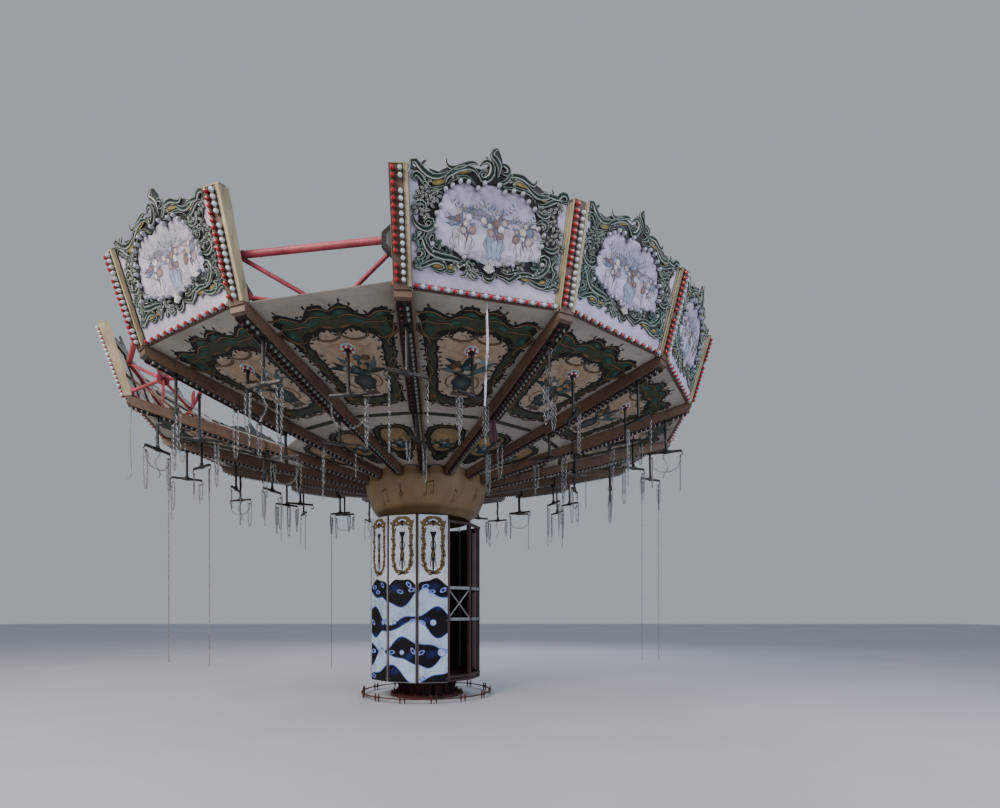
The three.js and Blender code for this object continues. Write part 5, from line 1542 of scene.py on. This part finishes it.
# The ring truss behind the boards

GUSSET_R, GUSSET_LEVEL = 4.55, 5.105
# Distance from the axis, offset from the arm's middle and level of the tubes' ends at an arm.
RING_END, HIGH_END, LOW_END = (4.985, 0.02, 5.64), (4.958, 0.027, 5.613), (4.945, 0.07, 5.16)
# The same of the flanges.
FLANGES = ((4.975, 0.03, 5.64), LOW_END)
# Outlines of a gusset's shield, and of a lug that is 1 high.
SHIELD = (-80, 55, -45, 82, 45, 82, 80, 55, 80, -55, 45, -82, -45, -82, -80, -55)
LUG_OUTLINE = np.array([(-95, 0), (95, 0), (105, -0.35), (60, -0.85), (0, -1), (-60, -0.85), (-105, -0.35)])
# Distance from the axis, upper edge and height in millimetres of the open bay's two lugs.
LUGS = ((4.55, 5.06, 300), (4.15, 5.0, 240))


def flange(place, r, y, z):
    """A round flange across an arm, with six bolts."""
    yield rods(place(r - 0.012, y, z), place(r + 0.004, y, z), 0.062, 16)
    angle = TAU * np.arange(6) / 6
    across, up = y + 0.048 * np.cos(angle), z + 0.048 * np.sin(angle)
    yield rods(place(r - 0.02, across, up), place(r - 0.01, across, up), 0.009, 6)


def lug(middle, r, top, tall):
    """A shield-shaped lug with a hole, which hangs under a truss."""

    def face(u, v, w):
        return middle(r + w, u, top + v)

    outline = stroke_line(LUG_OUTLINE * (1, tall), 48, closed=True)
    centre = -0.62j * tall
    hole = centre + 30 * np.exp(1j * np.angle(outline - centre))
    return band(face, hole, outline, -8, 16)


def truss_bay(bay):
    """Round tubes of one bay: the ring tube, the cross tube, and the braces that meet at the gusset,
    which is a shield with a hole. Where the ceiling is open, two lugs hang under them."""
    middle = on_arm(bay + 0.5)
    arms = (on_arm(bay), 1), (on_arm(bay + 1), -1)
    gusset = middle(GUSSET_R, 0, GUSSET_LEVEL)
    cross_half = BAY_HANGER[0] * math.sin(HALF_BAY) - 0.045
    cross = [middle(BAY_HANGER[0], side * cross_half, CROSS_LEVEL) for side in (-1, 1)]
    rows = RING_END, HIGH_END, LOW_END
    ring, high, low = ([place(r, side * y, z) for place, side in arms] for r, y, z in rows)
    starts = [cross[0]] + [gusset] * 6
    ends = [cross[1], *cross, *high, *low]
    yield rods(ring[0], ring[1], 0.04, 14)
    yield rods(starts, ends, 0.0265, 10)
    for place, side in arms:
        for r, y, z in FLANGES:
            yield from flange(place, r, side * y, z)

    def upright(u, v, w):
        return middle(GUSSET_R + u, w, GUSSET_LEVEL + v)

    outline = stroke_line(SHIELD, 40, closed=True)
    yield band(upright, 22 * np.exp(1j * np.angle(outline)), outline, -9, 18)
    if bay == OPEN_BAY:
        for row in LUGS:
            yield lug(middle, *row)


def steel_of_the_crown():
    """What is on the arms and between them, a quarter of the crown at a time."""
    in_quarters("beam_trims", beam_trims, "carving")
    in_quarters("hangers", hanger_steel, "dark_steel")
    in_quarters("chains", arm_chains, "chain_steel", sharp=70)
    in_quarters("truss_tubes", truss_bay, "truss_paint", stands_for="ring_truss")


# Distance from the axis and radius of the cowl's rings, from its inner end to its outer.
COWL = ((4.86, 0.12), (4.88, 0.15), (5.0, 0.205), (5.06, 0.212), (5.075, 0.2))
COWL_LID = ((5.076, 0.15), (5.084, 0.12))


def cowl():
    """An eight-sided dark housing behind a post: sides carried along the radius, smaller at its back."""
    ring = circle(1.0, 8, TAU / 16)
    parts = []
    for rows in (COWL, COWL_LID):
        x, radius = np.transpose(rows)
        parts.append(moulding(on_arm(1), points(x, -0.027, 5.57), ring[None] * radius[:, None, None]))
    piece("post_cowl", parts, "dark_steel", sharp=20)


# The bowl

BOWL = np.array([
    (0.84, 3.418), (0.862, 3.45), (0.905, 3.5), (0.955, 3.525), (1.01, 3.57), (1.065, 3.66), (1.11, 3.77),
    (1.147, 3.88), (1.168, 3.98), (1.178, 4.05), (1.174, 4.1), (1.155, 4.15), (1.15, 4.185), (1.158, 4.2),
])
# u and v of the points along a painted curl.
CURL = (
    0, -70, 26, -50, 30, -10, -6, 10, -34, -20, -10, -48, 22, -20, 10, 40, -14, 90, 6, 130, 22, 100, 0, 20,
    -8, -80, -20, -110,
)
NOTE_BROWN, NOTE_OCHRE = tones("#3a2614", "#8a6230")


def bowl_shell():
    """The fairing: a smoothed profile revolved. Towards its rim it is raised by 20 − 120·|cos 8θ|^4 mm
    and widened by 45 − 70·|cos 8θ|^4 mm, so that its edge dips at each beam and is a row of lobes."""
    outer = smooth(BOWL, 20)
    thin = outer[::-1] - np.array([0.014, 0.0])
    profile = np.vstack([outer, thin])
    angle = (TAU * np.arange(192) / 192)[:, None]
    near_beam = np.abs(np.cos(ARMS / 2 * angle)) ** 4
    rise = np.clip((profile[:, 1] - 3.98) / 0.22, 0, 1) ** 1.5
    r = profile[:, 0] + rise * (0.045 - 0.07 * near_beam)
    z = profile[:, 1] + rise * (0.02 - 0.12 * near_beam)
    made = on_arm(0)(r * np.cos(angle), r * np.sin(angle), z)
    shell = made, loft_faces(1, 192, len(profile), closed=True), None
    piece("bowl_shell", [shell], "bowl_shell", ["bowl"], sharp=60)


def on_bowl(azimuth):
    """The bowl's outer face: u along its round, v up, w out."""
    r, z = smooth(BOWL, 34).T

    def place(u, v, w):
        u, v, w = np.broadcast_arrays(u, v, w)
        radius = np.interp(v, z, r) + w
        return on_arm(0)(radius * np.cos(azimuth + u / 1.1), radius * np.sin(azimuth + u / 1.1), v)

    return place


def note(place, heads):
    """A note with one head and a flag, or two heads and a beam between their stems."""
    tips = [at + 26 + 205j for at in heads]
    for at in heads:
        line = blob(at, 30, 21, 0, 1, 0, 0.45, 20)
        yield from ringed(place, line, at, 0.4, NOTE_OCHRE, NOTE_OCHRE * 0.7, NOTE_BROWN, 5.0)
    t = np.linspace(0, 1, 10)
    stems = np.stack([at + 27 + (tip - at - 27) * t for at, tip in zip(heads, tips)])
    yield ridges(place, stems, 4.5, 1.2, NOTE_BROWN, FLAT, 1.0, 0.6)
    if len(heads) == 2:
        beam = tips[0] + (tips[1] - tips[0]) * t
        yield ridges(place, beam[None], 9, 1.2, NOTE_BROWN, FLAT, 1.0, 0.7)
    else:
        flag = scroll_lines([(tips[0], tips[0] + 55 - 75j, -1.6, 0.4, "S")], 10)
        yield ridges(place, flag, 8, 1.2, NOTE_BROWN, FLAT, 0.3, 0.7)


def bowl_paint():
    """Thin brown notes and curls brushed round the bowl, with ochre in the notes' heads."""
    parts = []
    for k in range(14):
        place = on_bowl(TAU * k / 14 + 0.1 * math.sin(3 * k))
        level = 3770 + 50 * math.sin(2.3 * k)
        if k % 3 == 0:
            curl = 1.15 * stroke_line(CURL, 60) + 1j * level
            parts.append(ridges(place, curl[None], 6, 1.2, NOTE_BROWN, FLAT, 0.4, 0.4))
        elif k % 3 == 1:
            parts += note(place, [-60 + 1j * (level - 95), 65 + 1j * (level - 60)])
        else:
            parts += note(place, [20 + 1j * (level - 80)])
    piece("bowl_notes", parts, "sign_paint")


# The drum

DRUM_HALF = 262  # half a board's width in millimetres
GOLD_SHADE, GOLD_LIGHT = tones("#23180b", "#776036")
INK, NAVY, COBALT, SKY, CHALK = tones("#05060c", "#172560", "#4059c8", "#93abcc", "#c6d2e4")
# A garland's middle line on the side with u over 0, from the foot of the border to its top.
GARLAND = (10, 2330, 85, 2365, 142, 2440, 172, 2560, 182, 2700, 166, 2840, 180, 2980, 166, 3110, 188, 3215)
ARCH = (192, 3190, 150, 3270, 100, 3318, 50, 3338, 0, 3342)
# Half the torch's outline.
TORCH = (
    62 + 3085j, 54 + 3060j, 26 + 2985j, 20 + 2900j, 20 + 2760j, 38 + 2700j, 42 + 2650j, 33 + 2600j,
    20 + 2560j, 16 + 2440j, 7 + 2330j,
)
SWAG_SCROLLS = ((185 + 3200j, 20 + 3275j, -1.9, 1.2, "C"), (3240j, 90 + 3290j, 1.6, 1.6, "C"))
RIBBON_SCROLLS = ((2920j, 52 + 2600j, 2.2, 0.8, "S"), (2760j, 46 + 2450j, -2.2, 0.8, "S"))
# Middle, half-widths and colour of the drops under the arch and at the border's foot.
DROPS = ((3262j, 30, 36, "#4a1517"), (3205j, 15, 24, "#1d1a14"), (2338j, 38, 24, "#4a2a14"))


def drum_frame_paint(place):
    """A gold and brown border of garlands, whose leaves stand along both edges, under an arch with a
    drop, round a black torch: a flared bowl on a tapering shaft with gold ribbons."""
    sides = mirrored(stroke_line(GARLAND, 17)[None])
    arch = mirrored(stroke_line(ARCH, 10)[None])
    base = np.concatenate([sides.ravel(), sides.ravel()])
    way = np.angle(np.gradient(sides, axis=1)).ravel()
    way = np.concatenate([way + 0.7, way - 0.7])
    k = np.arange(len(base))
    side = np.where(k < len(base) // 2, -1, 1)
    leaves = leaf_lines(base, way + 0.2 * np.sin(2.3 * k), 80 + 12 * np.sin(1.9 * k), side * 0.4, 5)
    swags = mirrored(scroll_lines(SWAG_SCROLLS, 10))
    ribbons = mirrored(scroll_lines(RIBBON_SCROLLS, 10))
    for lines, half, rise, colour, taper, level in (
        (sides, 15, 0.5, GOLD_SHADE, 0.35, 0.4),
        (arch, 33, 0.5, GOLD_SHADE, 0.6, 0.5),
        (arch, 19, 0.4, GOLD_LIGHT, 0.6, 1.1),
        (leaves, 21, 0.4, GOLD_SHADE, 0.25, 0.9),
        (leaves, 12, 0.4, GOLD_LIGHT, 0.1, 1.4),
        (swags, 20, 0.4, GOLD_SHADE, 0.4, 1.8),
        (swags, 12, 0.4, GOLD_LIGHT * 0.85, 0.4, 2.3),
        (ribbons, 10, 0.6, INK * 2, 0.5, 0.9),
        (ribbons, 4, 0.4, GOLD_LIGHT * 0.9, 0.5, 1.5),
    ):
        yield ridges(place, lines, half, rise, colour, FLAT, taper, level)
    for at, across, up, code in DROPS:
        line = blob(at, across, up, 0.12, 4, 0.0, 0, 14)
        yield patch(place, line, at, 2.9, 0.5, linear(code), INK, 1)
    torch = np.array(TORCH)
    yield slab(place, np.concatenate([torch, -np.conj(torch[::-1])]), 0.4, 0.6, INK * 2)


# Level, half-thickness, phase and rise per board of the sprayed waves, which run round the drum.
SPRAY_WAVES = ((1720, 165, 0.4, 0.9), (1175, 150, 2.3, 1.7), (640, 140, 4.4, 2.6))
WAVES_ROUND = 5
# How far each layer of a wave stands inside its outline, and how far a bubble's grows past its own.
PALE = SKY * 0.55 + CHALK * 0.45
WAVE_LAYERS = ((-9, COBALT * 0.25), (0, COBALT * 0.6 + SKY * 0.3), (13, PALE))
BUBBLE_LAYERS = ((11, COBALT * 0.6), (0, PALE))
# Middle and turn of the rings.
SPRAY_RINGS = (
    (-140 + 2095j, 0.3), (115 + 2125j, -0.4), (-20 + 2000j, 0.1), (175 + 2030j, 0.6), (-190 + 1440j, -0.5),
    (205 + 1470j, 0.4), (-200 + 900j, 0.5), (205 + 930j, -0.6), (-180 + 430j, 0.2),
)


def spray_wave(wave, bay, inset):
    """A wave's outline on a board: its middle goes up and down by 130·sin and its thickness swells by
    a sine too, both of the way round the drum, so that it runs on from board to board."""
    level, half, phase, swell = wave
    u = np.linspace(-DRUM_HALF + 2, DRUM_HALF - 2, 18)
    turn = WAVES_ROUND * (bay + 0.5 + 0.5 * u / DRUM_HALF) * DRUM_STEP
    middle = level + 130 * np.sin(turn + phase)
    thick = half * (1 + 0.42 * np.sin(2 * turn + swell)) - inset
    upper = middle + thick * (1 + 0.12 * np.sin(3 * turn))
    return np.concatenate([u + 1j * (middle - thick), (u + 1j * upper)[::-1]])


def on_face(line):
    """An outline kept inside a drum board and the sprayed part of it."""
    return np.clip(line.real, -DRUM_HALF + 2, DRUM_HALF - 2) + 1j * np.clip(line.imag, 360, 2220)


def drum_spray_paint(place, bay):
    """Sprayed shapes on the lower part: a black and navy ground with cobalt rings, and big pale waves
    and bubbles with blue edges."""
    k = np.linspace(-1, 1, 20)
    top = DRUM_HALF * k + 1j * (2125 + 110 * np.cos(math.pi / 2 * k) + 22 * np.sin(5 * k + bay))
    ground = np.concatenate([[-DRUM_HALF + 356j, DRUM_HALF + 356j], top[::-1]])
    yield slab(place, ground, 0.3, 0.5, INK)
    for j in range(6):
        at = 150 * math.sin(2.4 * j + bay) + 1j * (2050 - 300 * j + 25 * math.cos(3 * j + bay))
        line = on_face(blob(at, 150, 95, 0.12, 4, j + bay, 0.3, 18))
        yield patch(place, line, at, 0.6 + 0.05 * j, 0.3, NAVY, INK, 2)
    for j, wave in enumerate(SPRAY_WAVES):
        base = 1.2 + 0.9 * j
        for layer, (inset, colour) in enumerate(WAVE_LAYERS):
            yield slab(place, on_face(spray_wave(wave, bay, inset)), base + 0.3 * layer, 0.3, colour)
        marks = spray_wave(wave, bay, 0.6 * wave[1])[2::5]
        i = np.arange(len(marks))
        ends = marks + 40 * np.cos(i) + 44j * np.sin(1.7 * i + 1)
        lines = scroll_lines([(start, end, 1.4, 0.5, "S") for start, end in zip(marks, ends)], 6)
        inside = np.clip(lines.real, -DRUM_HALF + 8, DRUM_HALF - 8) + 1j * lines.imag
        yield ridges(place, inside, 3.5, 0.3, SKY * 0.5, FLAT, 0.4, base + 0.9)
    for j in range(2):
        at = 170 * math.sin(2.1 * bay + 2 * j) + 1j * (1440 - 540 * j)
        for layer, (grown, colour) in enumerate(BUBBLE_LAYERS):
            size = 52 + 22 * math.sin(bay + j) + grown
            line = on_face(blob(at, size, size, 0, 1, 0, 0, 20))
            yield slab(place, line, 3.9 + 0.3 * layer, 0.3, colour)
    for j, (at, turn) in enumerate(SPRAY_RINGS):
        if (j * 3 + bay) % 4 != 3:
            at = at + 18 * math.sin(3 * j + bay)
            ring = blob(at, 68, 38, 0, 1, 0, turn + 0.4 * math.sin(bay), 18)
            hole = on_face(at + (ring - at) * 0.45)
            yield band(place, hole, on_face(ring), 4.9, 0.4, COBALT, CHALK * 0.5 + COBALT * 0.5)


def drum_paint():
    """The border and the sprayed part of every drum board, in two pieces."""
    for name, bays in (("drum_paint_left", DRUM_BAYS[:5]), ("drum_paint_right", DRUM_BAYS[5:])):
        parts = []
        for bay in bays:
            parts += drum_frame_paint(on_drum(bay))
            parts += drum_spray_paint(on_drum(bay), bay)
        piece(name, parts, "aerosol", body="tower", sharp=50)


DRUM_POST_R = 1.0627  # of a drum post's outer face
RAIL_LEVELS = (1.5, 2.08)
SCREW = np.array([(0, -1), (7, -1), (6, 2), (0, 3.2)]) * MM


def drum_steel():
    """Maroon strips in the seams, screws along the boards, and pale rails in the open bays, with a
    round one that slants between two of them."""
    strips = [
        boxes(on_drum_corner(corner), [(1.0965, -0.0285, 0.374)], [(1.0985, 0.0285, 3.368)])
        for corner in (5, 6, 8, 9, 11, 0)
    ]
    piece("seam_strips", strips, "maroon_paint", body="tower")
    screws = []
    for bay in DRUM_BAYS:
        at = facing(on_drum(bay), np.array([[-0.245], [0.245]]), np.linspace(0.42, 3.32, 12))
        screws.append(copies(revolved(SCREW, 6), at[:, :3], at[:, 3:]))
    piece("board_screws", screws, "chain_steel", body="tower")
    rails = []
    face = DRUM_POST_R * math.cos(DRUM_STEP / 2)
    for bay in (1, 2, 3):
        for level in RAIL_LEVELS:
            low, high = (face - 0.043, -0.24, level - 0.028), (face + 0.004, 0.24, level + 0.028)
            rails.append(boxes(on_drum_corner(bay + 0.5), [low], [high]))
    start, end = (on_drum_corner(corner)(DRUM_POST_R - 0.02, 0, np.array(RAIL_LEVELS)) for corner in (1, 2))
    rails.append(rods(start, end[::-1], 0.016, 10))
    piece("bay_rails", rails, "light_bar", body="tower")


# The pedestal, the anchor ring and the mast

# Outline of a rib: out from the axis and up.
RIB = np.array([495 + 70j, 640 + 52j, 640 + 60j, 560 + 150j, 600 + 270j, 600 + 286j, 495 + 286j])
# Foot, head, radius and number of sides of the parts of an anchor stud: the stud and its two nuts.
ANCHOR_STUD = ((0.08, 0.15, 0.0115, 8), (0.0843, 0.104, 0.021, 6), (0.052, 0.0697, 0.021, 6))
# Foot, inner and outer radius and height of each collar.
COLLARS = ((2.96, 0.402, 0.478, 0.05), (2.9, 0.452, 0.468, 0.06), (0.4, 0.452, 0.52, 0.02))


def studs(r, low, high, angle, radius, sides):
    """Upright rods in a circle about the axis."""
    x, y = r * np.cos(angle), r * np.sin(angle)
    return rods(points(x, y, low), points(x, y, high), radius, sides)


def base_steel():
    """Bolts round the pedestal's flange and foot, ribs round its neck, and threaded studs with nuts."""
    foot = TAU * (np.arange(16) + 0.5) / 16
    parts = [
        studs(0.605, 0.262, 0.284, TAU * np.arange(32) / 32, 0.017, 6),
        studs(0.685, 0.045, 0.075, foot, 0.022, 6),
        studs(0.685, 0.075, 0.1, foot, 0.011, 8),
    ]
    for k in range(16):

        def side(u, v, w, azimuth=TAU * k / 16):
            return turned_z(points(u, w, v), azimuth)

        parts.append(slab(side, RIB, -7, 14))
    pairs = np.add.outer(TAU * np.arange(14) / 14, (-0.036, 0.036)).ravel()
    parts += [studs(ANCHOR_R, low, high, pairs, radius, sides) for low, high, radius, sides in ANCHOR_STUD]
    piece("base_fixings", parts, "rusty_steel", body="base")


def mast_collars():
    """Collars and bolts on the mast: sections carried round the axis."""
    angle = TAU * np.arange(24) / 24
    corner = points(np.cos(angle), np.sin(angle), 0)
    parts = []
    for z, inner, outer, tall in COLLARS:
        profile = np.array([(inner, z), (outer, z), (outer, z + tall), (inner, z + tall)])
        made = corner[:, None] * profile[None, :, :1] + profile[None, :, 1:] * [0, 0, 1.0]
        parts.append((made, loft_faces(1, 24, 4, closed=True), None))
    parts.append(studs(0.46, 3.01, 3.03, TAU * np.arange(16) / 16, 0.011, 6))
    piece("mast_collars", parts, "maroon_paint", body="tower")


def dress_solids():
    """Each solid that is carried over takes the finish of its slot."""
    for part in frame["record"]["subparts"]:
        solid = frame["nodes"][part["node"]]
        finish = FINISHES[part["material_slot"]]
        if solid.material_slots:
            for slot in solid.material_slots:
                slot.material = finish
        else:
            solid.data.materials.append(finish)


def main():
    """Makes everything."""
    camera()
    strap()
    rope()
    wine_cloth()
    studio()
    dress_solids()
    lamps()
    post_mouldings()
    board_trims()
    ceiling_edges()
    carved_frames()
    paintings()
    steel_of_the_crown()
    cowl()
    bowl_shell()
    bowl_paint()
    drum_paint()
    drum_steel()
    base_steel()
    mast_collars()
    [[list(corner) for corner in box] for box in (cad_box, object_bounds())]


main()
